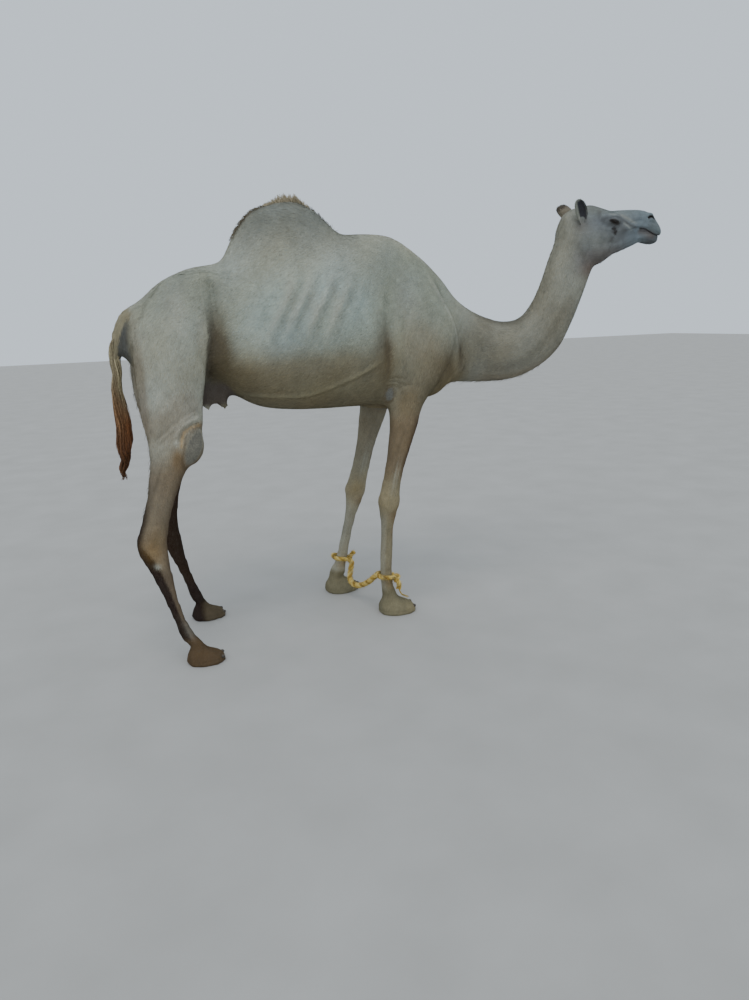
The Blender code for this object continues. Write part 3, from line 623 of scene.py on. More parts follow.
def refine(mesh, chosen):
    # splits the edges of the chosen part of the mesh in half
    shape = bmesh.new()
    shape.from_mesh(mesh)
    points = np.array([vertex.co[:] for vertex in shape.verts])
    inside = chosen(points)
    edges = [edge for edge in shape.edges if inside[edge.verts[0].index] and inside[edge.verts[1].index]]
    bmesh.ops.subdivide_edges(shape, edges=edges, cuts=1, use_grid_fill=True)
    bmesh.ops.triangulate(shape, faces=[face for face in shape.faces if len(face.verts) > 4])
    shape.to_mesh(mesh)
    shape.free()
    return len(edges)


# sculpting: bells of height along paths in a side plane, pushed out along the skin's normals
def ramp(value, low, high):
    t = np.clip((value - low) / (high - low), 0, 1)
    return t * t * (3 - 2 * t)


def strokeOf(places, path, width, taper=0.25):
    # a bell across the nearest point of a smooth path, fading over a share of its length at each end
    path = smoothRows(path, 5)
    found = np.zeros(len(places))
    low, high = path.min(axis=0) - 3 * width, path.max(axis=0) + 3 * width
    near = np.flatnonzero(((places > low) & (places < high)).all(axis=1))
    if not len(near):
        return found
    spots, start = places[near], 0.0
    best, along = np.full(len(near), 9.0), np.zeros(len(near))
    for a, b in zip(path, path[1:]):
        run = np.linalg.norm(b - a)
        t = np.clip((spots - a) @ (b - a) / run**2, 0, 1)
        away = np.linalg.norm(spots - a - t[:, None] * (b - a), axis=1)
        along = np.where(away < best, start + t * run, along)
        best = np.minimum(best, away)
        start += run
    fade = ramp(np.minimum(along, start - along) / start, 0, taper) if taper else 1.0
    found[near] = np.exp(-((best / width) ** 2)) * fade
    return found


def bellOf(places, centre, radii):
    return np.exp(-(((places - centre) / radii) ** 2).sum(axis=1))


def ribLine(x):
    return [(x + 0.075, 1.730), (x + 0.005, 1.605), (x - 0.075, 1.470), (x - 0.110, 1.360)]


veinLine = [(-0.33, 1.19), (-0.299, 1.181), (-0.167, 1.17), (-0.042, 1.167), (0.073, 1.202), (0.203, 1.254),
            (0.33, 1.318)]


# Right-hand places as x, z: path, half width of the bell, height (below 0 is a furrow), fade.
trunkStrokes = [
    ([(-0.42, 1.745), (-0.42, 1.66), (-0.418, 1.56), (-0.432, 1.45), (-0.452, 1.33), (-0.474, 1.22)],
     0.024, -0.015, 0.15),  # hollow before the thigh
    ([(-0.462, 1.69), (-0.46, 1.56), (-0.47, 1.42), (-0.492, 1.29), (-0.512, 1.18)], 0.018, 0.006, 0.2),
    ([(-0.722, 1.504), (-0.709, 1.423), (-0.704, 1.321), (-0.7, 1.217), (-0.727, 1.115)], 0.016, -0.006, 0.3),
    ([(-0.69, 1.52), (-0.672, 1.42), (-0.664, 1.32), (-0.662, 1.23)], 0.026, 0.004, 0.3),
    ([(-0.76, 1.08), (-0.71, 1.14), (-0.66, 1.195), (-0.612, 1.252)], 0.016, -0.004, 0.3),
    ([(-0.6, 1.56), (-0.56, 1.44), (-0.545, 1.32), (-0.56, 1.2)], 0.06, 0.006, 0.3),  # thigh muscle
    ([(-0.749, 0.998), (-0.68, 1.06), (-0.6, 1.118), (-0.52, 1.15)], 0.01, -0.0026, 0.2),
    ([(-0.73, 0.985), (-0.665, 1.04), (-0.6, 1.094), (-0.524, 1.128)], 0.009, -0.0026, 0.2),
    ([(-0.622, 1.0), (-0.606, 1.046), (-0.57, 1.074), (-0.52, 1.082)], 0.011, -0.0075, 0.15),
    ([(-0.645, 1.01), (-0.622, 1.066), (-0.575, 1.098), (-0.52, 1.104)], 0.012, 0.006, 0.15),
    ([(-0.742, 0.992), (-0.672, 1.05), (-0.6, 1.106), (-0.522, 1.139)], 0.008, 0.002, 0.2),
    ([(0.628, 1.715), (0.687, 1.588), (0.74, 1.475), (0.79, 1.341)], 0.018, 0.007, 0.2),  # blade's front edge
    ([(0.66, 1.714), (0.718, 1.59), (0.77, 1.475), (0.814, 1.345), (0.815, 1.265)], 0.018, -0.009, 0.3),
    ([(-0.752, 1.6), (-0.779, 1.526), (-0.796, 1.457), (-0.796, 1.385)], 0.012, -0.008, 0.2),  # by the tail
    ([(0.46, 1.8), (0.52, 1.64), (0.57, 1.48), (0.6, 1.35)], 0.022, 0.004, 0.3),  # blade's spine
    ([(0.5, 1.78), (0.56, 1.64), (0.612, 1.49), (0.636, 1.37)], 0.022, -0.003, 0.3),
    ([(0.4, 1.7), (0.372, 1.578), (0.356, 1.446), (0.35, 1.333), (0.348, 1.24), (0.345, 1.17)],
     0.026, -0.013, 0.35),  # behind the upper arm
    ([(0.44, 1.6), (0.414, 1.48), (0.398, 1.35), (0.4, 1.25)], 0.032, 0.008, 0.3),  # its rear muscle
    ([(0.52, 1.42), (0.48, 1.33), (0.44, 1.25)], 0.03, -0.003, 0.3),
    ([(0.348, 1.202), (0.394, 1.205), (0.445, 1.186), (0.5, 1.19)], 0.0065, -0.0045, 0.25),  # elbow folds
    ([(0.34, 1.184), (0.392, 1.188), (0.44, 1.166)], 0.006, -0.0045, 0.25),
    ([(0.352, 1.22), (0.4, 1.224), (0.452, 1.208)], 0.006, -0.0035, 0.25),
    ([(0.344, 1.193), (0.393, 1.197), (0.442, 1.176)], 0.005, 0.003, 0.25),
    (veinLine, 0.009, 0.0062, 0.12),
    ([(-0.15, 1.158), (-0.042, 1.152), (0.08, 1.186), (0.21, 1.238)], 0.012, -0.0025, 0.3),
    ([(-0.3, 1.69), (-0.33, 1.56), (-0.372, 1.45)], 0.03, -0.005, 0.3),  # hollow flank
    ([(0.828, 1.353), (0.817, 1.28), (0.771, 1.207), (0.725, 1.16)], 0.011, -0.0045, 0.3),
    ([(0.862, 1.436), (0.88, 1.325), (0.85, 1.22)], 0.012, -0.0035, 0.3),  # folds at the neck's base
    ([(0.905, 1.43), (0.935, 1.33), (0.955, 1.23)], 0.011, -0.0025, 0.3),
    ([(0.83, 1.42), (0.85, 1.32), (0.87, 1.22)], 0.016, -0.003, 0.3),
    ([(0.879, 1.255), (1.056, 1.215), (1.208, 1.25), (1.35, 1.365), (1.47, 1.55), (1.56, 1.69)],
     0.022, -0.0028, 0.2),  # furrow above the windpipe
    ([(0.9, 1.4), (1.06, 1.345), (1.19, 1.36), (1.31, 1.47), (1.39, 1.62), (1.45, 1.78)],
     0.03, 0.003, 0.2),  # neck bones
    ([(0.93, 1.465), (1.06, 1.415), (1.17, 1.42), (1.27, 1.51), (1.34, 1.64), (1.395, 1.78)],
     0.02, -0.0035, 0.15),
    ([(1.5, 1.69), (1.54, 1.74), (1.59, 1.76)], 0.012, -0.006, 0.3),  # throat
    ([(-0.7, 1.64), (-0.64, 1.6), (-0.56, 1.62)], 0.035, -0.004, 0.3),  # beside the rump bone
]
# ribs, each with a furrow before it: x, height
ribs = [(-0.2, 0.0036), (-0.112, 0.008), (-0.042, 0.0092), (0.05, 0.0082), (0.14, 0.005), (0.222, 0.0032)]
for x, height in ribs:
    trunkStrokes += [(ribLine(x), 0.016, height, 0.35), (ribLine(x + 0.036), 0.016, -0.5 * height, 0.35)]

# x, z, radius along x and z, height
trunkBells = [
    (-0.395, 1.5, 0.06, 0.11, -0.008),
    (-0.36, 1.64, 0.06, 0.06, -0.006),
    (-0.6, 1.35, 0.11, 0.17, 0.004),
    (0.81, 1.312, 0.022, 0.045, -0.009),
    (0.43, 1.37, 0.06, 0.09, 0.005),
    (-0.566, 0.98, 0.042, 0.084, 0.003),  # horny pad of the stifle
    (0.374, 1.146, 0.024, 0.036, 0.0035),  # and of the elbow
    (-0.64, 1.01, 0.01, 0.011, 0.005),  # a wart
    (-0.448, 1.73, 0.04, 0.03, 0.006),  # hip point
    (0.1, 1.3, 0.26, 0.12, 0.004),
]

# Places on a leg as share from its back to its front, height.
hindStrokes = [
    ([(0.3, 0.96), (0.26, 0.86), (0.22, 0.76), (0.24, 0.66)], 0.011, -0.006),  # before the hock's tendon
    ([(0.1, 0.9), (0.08, 0.76), (0.06, 0.64)], 0.01, 0.003),
    ([(0.62, 0.92), (0.6, 0.8), (0.62, 0.69)], 0.016, 0.003),
    ([(0.48, 0.66), (0.52, 0.6), (0.5, 0.545)], 0.016, 0.0045),  # hock's side knob
    ([(0.36, 0.52), (0.4, 0.4), (0.42, 0.29)], 0.008, -0.0035),  # between bone and tendons
    ([(0.14, 0.5), (0.16, 0.4), (0.18, 0.29)], 0.009, 0.002),
    ([(0.66, 0.5), (0.66, 0.4), (0.64, 0.29)], 0.012, 0.002),
    ([(0.55, 0.235), (0.5, 0.2), (0.5, 0.165)], 0.016, 0.003),
]
foreStrokes = [
    ([(0.7, 1.04), (0.66, 0.92), (0.62, 0.8)], 0.022, 0.0045),  # forearm muscle
    ([(0.46, 1.0), (0.42, 0.88), (0.4, 0.76), (0.42, 0.69)], 0.01, -0.004),
    ([(0.2, 0.96), (0.2, 0.84), (0.22, 0.72)], 0.012, 0.0025),
    ([(0.72, 0.76), (0.7, 0.7), (0.66, 0.65)], 0.008, -0.0025),
    ([(0.12, 0.64), (0.1, 0.61), (0.14, 0.58)], 0.014, 0.004),  # bone behind the knee
    ([(0.85, 0.64), (0.9, 0.6), (0.86, 0.56)], 0.018, 0.0035),  # knee's front
    ([(0.46, 0.64), (0.5, 0.6), (0.48, 0.56)], 0.014, -0.0025),
    ([(0.4, 0.52), (0.42, 0.4), (0.42, 0.26)], 0.008, -0.0035),
    ([(0.18, 0.52), (0.18, 0.4), (0.18, 0.26)], 0.009, 0.002),
    ([(0.55, 0.235), (0.5, 0.2), (0.5, 0.165)], 0.016, 0.003),
]

# Places on the head in its own frame: f, z.
headStrokes = [
    ([(0.178, 1.962), (0.2, 1.976), (0.228, 1.979), (0.256, 1.969), (0.272, 1.953)], 0.0075, 0.004),  # brow
    ([(0.186, 1.954), (0.205, 1.966), (0.23, 1.968), (0.254, 1.958)], 0.0028, -0.0022),  # lid crease
    ([(0.19, 1.936), (0.215, 1.927), (0.245, 1.929), (0.262, 1.938)], 0.0035, -0.0016),  # under the eye
    ([(0.184, 1.93), (0.215, 1.918), (0.25, 1.921)], 0.0035, -0.0014),
    ([(0.14, 1.935), (0.18, 1.912), (0.24, 1.903), (0.3, 1.905)], 0.01, 0.003),  # cheekbone
    ([(0.262, 1.94), (0.25, 1.91), (0.246, 1.88), (0.24, 1.85)], 0.008, -0.0018),  # tear furrow
    ([(0.3, 1.93), (0.34, 1.948), (0.39, 1.955), (0.43, 1.95)], 0.008, -0.003),
    ([(0.28, 1.9), (0.33, 1.918), (0.38, 1.93), (0.43, 1.928), (0.47, 1.915)], 0.007, 0.002),
    ([(0.33, 1.905), (0.37, 1.918), (0.41, 1.92)], 0.0045, -0.002),
    ([(0.44, 1.95), (0.47, 1.944), (0.5, 1.93)], 0.006, -0.0024),
    ([(0.43, 1.966), (0.444, 1.985), (0.466, 1.99), (0.484, 1.978)], 0.005, 0.003),  # above the nostril
    ([(0.436, 1.955), (0.456, 1.957), (0.476, 1.951)], 0.007, 0.0012),  # its lower wing
    ([(0.16, 2.004), (0.172, 1.994), (0.18, 1.98)], 0.015, -0.004),  # temple
    ([(0.11, 1.99), (0.13, 1.965), (0.135, 1.935)], 0.016, -0.0024),
    ([(0.215, 1.78), (0.232, 1.82), (0.236, 1.86)], 0.013, -0.0024),  # before the chewing muscle
    ([(0.15, 1.75), (0.19, 1.79), (0.2, 1.85)], 0.024, 0.003),
    ([(0.25, 1.8), (0.31, 1.828), (0.37, 1.852), (0.41, 1.866)], 0.007, -0.002),  # along the jaw
    ([(0.395, 1.862), (0.416, 1.858), (0.43, 1.866)], 0.008, -0.003),  # behind the chin
    ([(0.372, 1.916), (0.384, 1.908), (0.392, 1.896)], 0.0035, -0.0022),  # mouth corner folds
    ([(0.384, 1.922), (0.398, 1.91), (0.404, 1.894)], 0.0035, -0.0016),
    ([(0.085, 1.76), (0.1, 1.8), (0.104, 1.85), (0.098, 1.9)], 0.015, -0.0036),  # behind the jaw
]
mouthLine = [(0.386, 1.914), (0.405, 1.9155), (0.424, 1.914), (0.453, 1.903), (0.484, 1.889), (0.512, 1.882),
             (0.545, 1.88)]
nostrilLine = [(0.438, 1.9665), (0.449, 1.9735), (0.462, 1.9755), (0.474, 1.9705), (0.482, 1.962)]


def legShare(points, slices):
    # where a point lies from a leg's back to its front, and the leg's width there
    back, front, _, _ = legAt(slices, points[:, 2])
    return (points[:, 0] - back) / (front - back), front - back


def toHead(points):
    return (points - headPlace[0]) @ headPlace[1].T


def carriedBack(points):
    # side places x, z; the left hind leg's are carried back to the right one's
    shift = ((points[:, 1] > 0) & (points[:, 0] < hindStart)) * leftSteps(points[:, 2])[0]
    return np.stack([points[:, 0] - shift, points[:, 2]], axis=1)


legTables = (
    ("hind", -1, hindRightSlices, hindStrokes),
    ("hind", 1, hindLeftRows(), hindStrokes),
    ("fore", -1, foreRightSlices, foreStrokes),
    ("fore", 1, foreLeftSlices, foreStrokes),
)


def legMask(points, pair, side):
    # 1 on one leg, fading out where it joins the trunk
    behind = points[:, 0] < hindStart if pair == "hind" else points[:, 0] > 0.10
    return behind * (points[:, 1] * side > 0.02) * ramp(points[:, 2], 1.12, 1.02)


def sculpt(mesh):
    points, _ = net(mesh)
    normals = normalsOf(mesh)
    onSide = ramp(np.abs(points[:, 1]), 0.035, 0.085) * ramp(np.abs(normals[:, 1]), 0.10, 0.45)
    side, height = carriedBack(points), np.zeros(len(points))
    for path, width, rise, taper in trunkStrokes:
        height += rise * strokeOf(side, path, width, taper)
    for x, z, radiusX, radiusZ, rise in trunkBells:
        height += rise * bellOf(side, (x, z), (radiusX, radiusZ))
    height *= onSide * ramp(points[:, 0], 1.52, 1.44)
    for pair, sign, slices, strokes in legTables:
        mask = legMask(points, pair, sign)
        share, width = legShare(points, slices)
        spots = np.stack([share * width, points[:, 2]], axis=1)
        for path, bell, rise in strokes:
            back, front, _, _ = legAt(slices, [z for _, z in path])
            flat = [(s * w, z) for (s, z), w in zip(path, front - back)]
            height += mask * rise * strokeOf(spots, flat, bell)
    # feet: a cleft between the two toes, and an edge round the pad
    for _, heelX, y, length, width, share, heading in feet:
        where = stand(heelX, y, heading)
        own = (points - where[0]) @ where[1].T
        near = (own[:, 2] < 0.15) & (np.abs(own[:, 1]) < 0.11) & (own[:, 0] > -0.05)
        near &= own[:, 0] < length * 1.1
        cleft = np.exp(-((own[:, 1] / 0.007) ** 2)) * ramp(own[:, 0], 0.45 * length, 0.80 * length)
        height -= near * 0.011 * cleft * ramp(own[:, 2], 0.004, 0.012)
        height -= near * 0.0020 * np.exp(-(((own[:, 2] - 0.020) / 0.004) ** 2))
    head = toHead(points)
    onHead = ramp(head[:, 0], 0.02, 0.07) * (points[:, 2] > headLow)
    beside = onHead * ramp(np.abs(head[:, 1]), 0.012, 0.028)
    spots = head[:, [0, 2]]
    for path, width, rise in headStrokes:
        height += beside * rise * strokeOf(spots, path, width)
    mouth = onHead * strokeOf(spots, mouthLine, 0.0026, 0.12)
    lips = onHead * strokeOf(spots, mouthLine, 0.0085, 0.15)
    height += 0.0026 * lips - 0.0075 * mouth
    slot = beside * strokeOf(spots, nostrilLine, 0.0038, 0.18)
    height -= 0.0190 * slot * ramp(normals[:, 2], -0.3, 0.2)
    # the upper lip is split below the nose
    split = onHead * np.exp(-((head[:, 1] / 0.0040) ** 2)) * ramp(head[:, 0], 0.495, 0.520)
    height -= 0.0028 * split * ramp(head[:, 2], 1.885, 1.900) * ramp(head[:, 2], 1.962, 1.940)
    return points + height[:, None] * normals


def shapeEyes(points):
    # lids: the skin is lifted onto a ball a little larger than the eye, and inside an almond-shaped
    # opening it is drawn back behind the eye; the almond is the overlap of two arcs, upper and lower
    head = toHead(points)
    along, up = head[:, 0] - eyeCentre[0], head[:, 2] - eyeCentre[2]
    slant = math.radians(eyeMake["slant"])
    u, v = along * math.cos(slant) + up * math.sin(slant), up * math.cos(slant) - along * math.sin(slant)
    reach = np.clip(1 - (u / eyeMake["halfLength"]) ** 2, 0, None)
    top, bottom = eyeMake["above"] * reach, -eyeMake["below"] * reach
    edge = np.minimum(top - v, v - bottom)
    away = np.hypot(u, v)
    lid = eyeCentre[1] + np.sqrt(np.clip((eyeRadius + eyeMake["lid"]) ** 2 - away**2, 0, None))
    behind = eyeCentre[1] + np.sqrt(np.clip(eyeRadius**2 - away**2, 0, None)) - eyeMake["sunk"]
    outside = np.abs(head[:, 1])
    facing = (away < 0.036) & (outside > 0.05)
    wanted = outside + (np.maximum(outside, lid) - outside) * ramp(away, 0.034, 0.018)
    opened = ramp(edge, -0.0006, 0.0016)
    wanted = np.where(facing, wanted + (behind - wanted) * opened, outside)
    head[:, 1] = np.sign(head[:, 1]) * wanted
    return head @ headPlace[1] + headPlace[0]


eyeMake = {  # the opening between the lids, how thick a lid is and how far the hide lies behind the ball
    "halfLength": 0.0240, "above": 0.0022, "below": 0.0078, "slant": -6.0, "lid": 0.0026, "sunk": 0.0040,
}


def earLeast(head):
    # how far from the middle the ears begin
    return np.clip(0.070 - 0.35 * (head[:, 2] - 1.960), 0.055, 0.070)


def onEars(points):
    head = toHead(points)
    ears = ramp(head[:, 0], 0.106, 0.094) * ramp(np.abs(head[:, 1]) - earLeast(head), -0.006, 0.001)
    return ears * ramp(head[:, 2], 1.946, 1.958) * (head[:, 0] > -0.12)


def onUdder(points, full):
    # 1 on the udder's bag out to a share of its reach, fading round it
    away = np.linalg.norm((points - udderBag[0]) / (0.150, 0.110, 0.110), axis=1)
    return ramp(away, 1.20, full) * ramp(points[:, 2], 1.27, 1.22)


def finishSkin(skin):
    # finer where the form is fine, sunk by the coat's depth, sculpted, and flat underfoot
    mesh = skin.data
    def onLegs(p):
        thigh = (p[:, 0] < -0.45) & (p[:, 2] < 1.22) & (np.abs(p[:, 1]) > 0.12)
        elbow = (p[:, 0] > 0.28) & (p[:, 2] < 1.26) & (np.abs(p[:, 1]) > 0.10) & (p[:, 0] < 0.70)
        udder = (p[:, 0] < hindStart) & (p[:, 2] < 1.20)
        return thigh | elbow | udder | (p[:, 2] < 1.02) | (p[:, 0] < tailStart) & (p[:, 2] < 1.55)
    print("legs split", refine(mesh, onLegs))
    relax(mesh, 4, weight=1 - onEars(net(mesh)[0]))
    points, _ = net(mesh)
    nose = bellOf(toHead(points)[:, [0, 2]], (0.492, 1.985), (0.030, 0.030)) * (points[:, 2] > headLow)
    relax(mesh, 30, (0.5,), nose)
    crest = ramp(points[:, 2], 1.84, 1.92) * (np.abs(points[:, 0]) < 0.40)
    relax(mesh, 8, weight=crest)
    for grow in (1.0, 0.72):
        def onFace(p):
            q = toHead(p)
            eye = np.hypot(q[:, 0] - eyeCentre[0], q[:, 2] - eyeCentre[2]) < 0.038 * grow
            nose = np.hypot(q[:, 0] - nostril[0], q[:, 2] - nostril[2]) < 0.028 * grow
            mouth = np.interp(q[:, 0], *np.array(mouthLine).T)
            lip = (q[:, 0] > 0.38) & (np.abs(q[:, 2] - mouth) < 0.014 * grow)
            return (eye & (np.abs(q[:, 1]) > 0.05)) | nose | lip
        print("face split", refine(mesh, onFace))
        relax(mesh, 3, weight=1 - onEars(net(mesh)[0]))
    points, _ = net(mesh)
    fine = np.maximum(ramp(points[:, 2], 1.05, 0.70), ramp(points[:, 0], 1.45, 1.60))
    fine = np.maximum(fine, ramp(points[:, 0], -0.79, -0.81) * (points[:, 2] < 1.56))
    depth = skinMake["coatBody"] * (1 - fine) + skinMake["coatFine"] * fine
    depth *= ramp(points[:, 2], 0.004, 0.03) * (1 - 0.75 * onEars(points))
    points -= normalsOf(mesh) * depth[:, None]
    setPoints(mesh, points)
    setPoints(mesh, shapeEyes(sculpt(mesh)))
    points, _ = net(mesh)
    points[:, 2] = np.maximum(points[:, 2], 0.0)
    setPoints(mesh, points)


# markings, shared by skin and coat: the hide's own tones, with painted shade and painted highlights where
# marked
def toneOf(red, green, blue):
    value = np.array([red, green, blue]) / 255
    return np.where(value <= 0.04045, value / 12.92, ((value + 0.055) / 1.055) ** 2.4)


tones = {name: toneOf(*shade) for name, shade in {
    "cream": (175, 174, 157), "barrel": (171, 184, 175), "rump": (151, 155, 140), "hump": (121, 123, 113),
    "shoulder": (146, 151, 134), "belly": (123, 112, 83), "stainAndShade": (96, 88, 70), "neck": (137, 134, 120),
    "nape": (107, 104, 91), "under": (136, 125, 103), "throat": (110, 86, 72), "face": (127, 131, 132),
    "muzzle": (131, 143, 147), "lip": (65, 62, 65), "tear": (47, 44, 43), "socket": (58, 52, 46),
    "innerEar": (66, 67, 73), "tan": (139, 117, 84), "gaskin": (124, 107, 84), "darkLeg": (31, 14, 4),
    "rearLeg": (73, 51, 33), "hindFoot": (89, 71, 49), "farFoot": (92, 80, 60), "foreLeg": (141, 129, 99),
    "knee": (159, 146, 113), "foreFoot": (135, 128, 101), "pastern": (176, 132, 59),
    "callus": (121, 119, 110), "darkRimAndShade": (86, 70, 50), "udder": (108, 98, 84), "vein": (143, 136, 109),
    "tailTop": (148, 138, 110),
    "tailUnder": (90, 92, 90), "crest": (172, 160, 134), "rust": (143, 91, 51), "blond": (170, 128, 88),
    "white": (184, 183, 168),
}.items()}


def paint(colour, layers, mask=1.0):
    # one tone after another over the colours so far, each as strongly as its share
    for tone, share in layers:
        colour += (mask * share)[:, None] * (tones[tone] - colour)


def patchy(points, size, seed):
    # soft patches: three crossed sums of sines of the place, about -1 to 1
    turns = np.random.default_rng(seed).normal(size=(6, 3)) / size
    waves = np.sin(points @ turns.T + np.arange(6) * 1.7 + seed)
    return (waves[:, 0] * waves[:, 1] + waves[:, 2] * waves[:, 3] + waves[:, 4] * waves[:, 5]) / 1.6


# mottling in ever finer patches: size, seed, depth
mottling = [(0.085, 3, 0.060), (0.030, 5, 0.060), (0.012, 8, 0.055), (0.0065, 11, 0.045), (0.0034, 17, 0.055)]
# soft spots on both sides: x, z, half sizes along x and z, tone, strength
patches = [
    (0.02, 1.52, 0.42, 0.20, "barrel", 0.90),
    (-0.60, 1.66, 0.26, 0.16, "rump", 0.80),
    (0.55, 1.62, 0.28, 0.26, "shoulder", 0.80),
    # painted shade: the hollow of the flank before the thigh, darkened where the thigh shades it
    (-0.428, 1.519, 0.045, 0.060, "stainAndShade", 0.25),
    (-0.415, 1.360, 0.060, 0.170, "stainAndShade", 0.95),
    (-0.448, 1.370, 0.034, 0.130, "socket", 0.22),
    (-0.575, 1.565, 0.050, 0.085, "white", 0.40),
    (-0.580, 1.170, 0.080, 0.070, "gaskin", 0.45),
    # darker low on the barrel: its own tan-grey, deepened with painted shade
    (-0.080, 1.290, 0.250, 0.060, "tan", 0.30),
    (0.690, 1.220, 0.090, 0.100, "stainAndShade", 0.95),
    (0.530, 1.380, 0.120, 0.110, "tan", 0.42),
    (0.480, 1.090, 0.080, 0.090, "tan", 0.80),
    (0.566, 1.080, 0.030, 0.090, "rearLeg", 0.60),
    # painted shade behind the upper arm
    (0.350, 1.300, 0.026, 0.130, "darkRimAndShade", 0.80),
    # painted shade at the neck's base
    (0.870, 1.320, 0.100, 0.150, "nape", 0.75),
    # darker low on the barrel and flank: their own tan-grey, deepened with painted shade
    (0.060, 1.290, 0.360, 0.080, "belly", 0.50),
    (-0.330, 1.250, 0.110, 0.080, "stainAndShade", 0.60),
    (0.100, 1.400, 0.300, 0.060, "stainAndShade", 0.16),
    # painted shade behind the upper arm
    (0.320, 1.330, 0.050, 0.160, "stainAndShade", 0.60),
    (0.520, 1.200, 0.150, 0.080, "stainAndShade", 0.25),
    (0.660, 1.200, 0.110, 0.110, "under", 0.80),
    # painted shade in the pit at the neck's base
    (0.806, 1.316, 0.013, 0.044, "socket", 0.80),
    (-0.680, 1.080, 0.100, 0.080, "gaskin", 0.50),
    (-0.640, 0.860, 0.110, 0.110, "tan", 0.40),
    (-0.757, 1.240, 0.024, 0.240, "gaskin", 0.60),
    (0.480, 1.560, 0.060, 0.120, "cream", 0.50),
    (-0.740, 1.480, 0.022, 0.050, "white", 0.20),
    (-0.640, 1.010, 0.009, 0.011, "white", 0.90),
    (-0.638, 0.930, 0.026, 0.055, "tan", 0.90),
    # painted shade in the crease behind the upper arm
    (0.354, 1.285, 0.010, 0.085, "socket", 0.50),
    (0.620, 1.150, 0.080, 0.060, "stainAndShade", 0.70),
    (0.700, 1.230, 0.060, 0.080, "darkRimAndShade", 0.35),
    (0.100, 1.205, 0.160, 0.045, "vein", 0.40),
    (0.445, 1.300, 0.050, 0.080, "cream", 0.35),
    (-0.090, 1.620, 0.020, 0.090, "white", 0.30),
    (0.000, 1.600, 0.020, 0.090, "white", 0.35),
    (0.100, 1.600, 0.020, 0.090, "white", 0.30),
]
# lines on the face: path as f, z, half width, tone, strength; the first darkens the eye's opening, the rest
# are painted shade and painted highlights
facePaint = [
    ([(0.192, 1.954), (0.206, 1.943), (0.23, 1.936), (0.252, 1.937), (0.268, 1.946)], 0.006, "tear", 0.95),
    # painted shade: behind the eye, and in the temple's crease
    ([(0.15, 1.946), (0.172, 1.964), (0.196, 1.966)], 0.01, "socket", 0.4),
    ([(0.16, 2.02), (0.156, 1.99), (0.145, 1.962)], 0.011, "socket", 0.42),
    # painted shadow under the facial crest, and a painted highlight on the crest above it
    ([(0.268, 1.966), (0.296, 1.956), (0.326, 1.938), (0.364, 1.923), (0.4, 1.916)], 0.0075, "socket", 0.55),
    ([(0.255, 1.992), (0.301, 1.976), (0.348, 1.953), (0.389, 1.938)], 0.009, "white", 0.42),
    # painted highlight on the brow
    ([(0.19, 1.978), (0.215, 1.984), (0.245, 1.98)], 0.006, "white", 0.3),
    # painted shade, and a painted highlight below the crest's shadow
    ([(0.29, 1.945), (0.3, 1.92), (0.28, 1.88)], 0.02, "socket", 0.15),
    ([(0.28, 1.947), (0.321, 1.926), (0.357, 1.903)], 0.0055, "white", 0.4),
    # painted shade along the cheek's rear edge, and painted shadow under the jaw
    ([(0.008, 1.883), (0.035, 1.847), (0.062, 1.802), (0.097, 1.766), (0.136, 1.751)], 0.015, "nape", 0.55),
    ([(0.118, 1.772), (0.175, 1.776), (0.233, 1.811), (0.303, 1.835), (0.362, 1.855)], 0.014, "socket", 0.26),
]


def isEar(head, z):
    off = np.abs(head[:, 1]) > earLeast(head)
    return (np.abs(head[:, 0] + 0.014) < 0.106) & off & (head[:, 2] > 1.958) & (z > headLow)


def earOwn(head):
    # a place on an ear: how far along it, and forwards of its bowed midline, and the way it opens
    base, _, axis, opening, reach = earFrame(1)
    own = head * (1, 0, 1) + np.abs(head[:, 1:2]) * (0, 1, 0) - base
    up = own @ axis
    forwards = np.cross(opening, axis)
    bow = earBow * np.sin(math.pi * np.clip(up / reach, 0, 1))
    return up, (own @ forwards - bow * forwards[0]) * np.sign(forwards[0]), opening


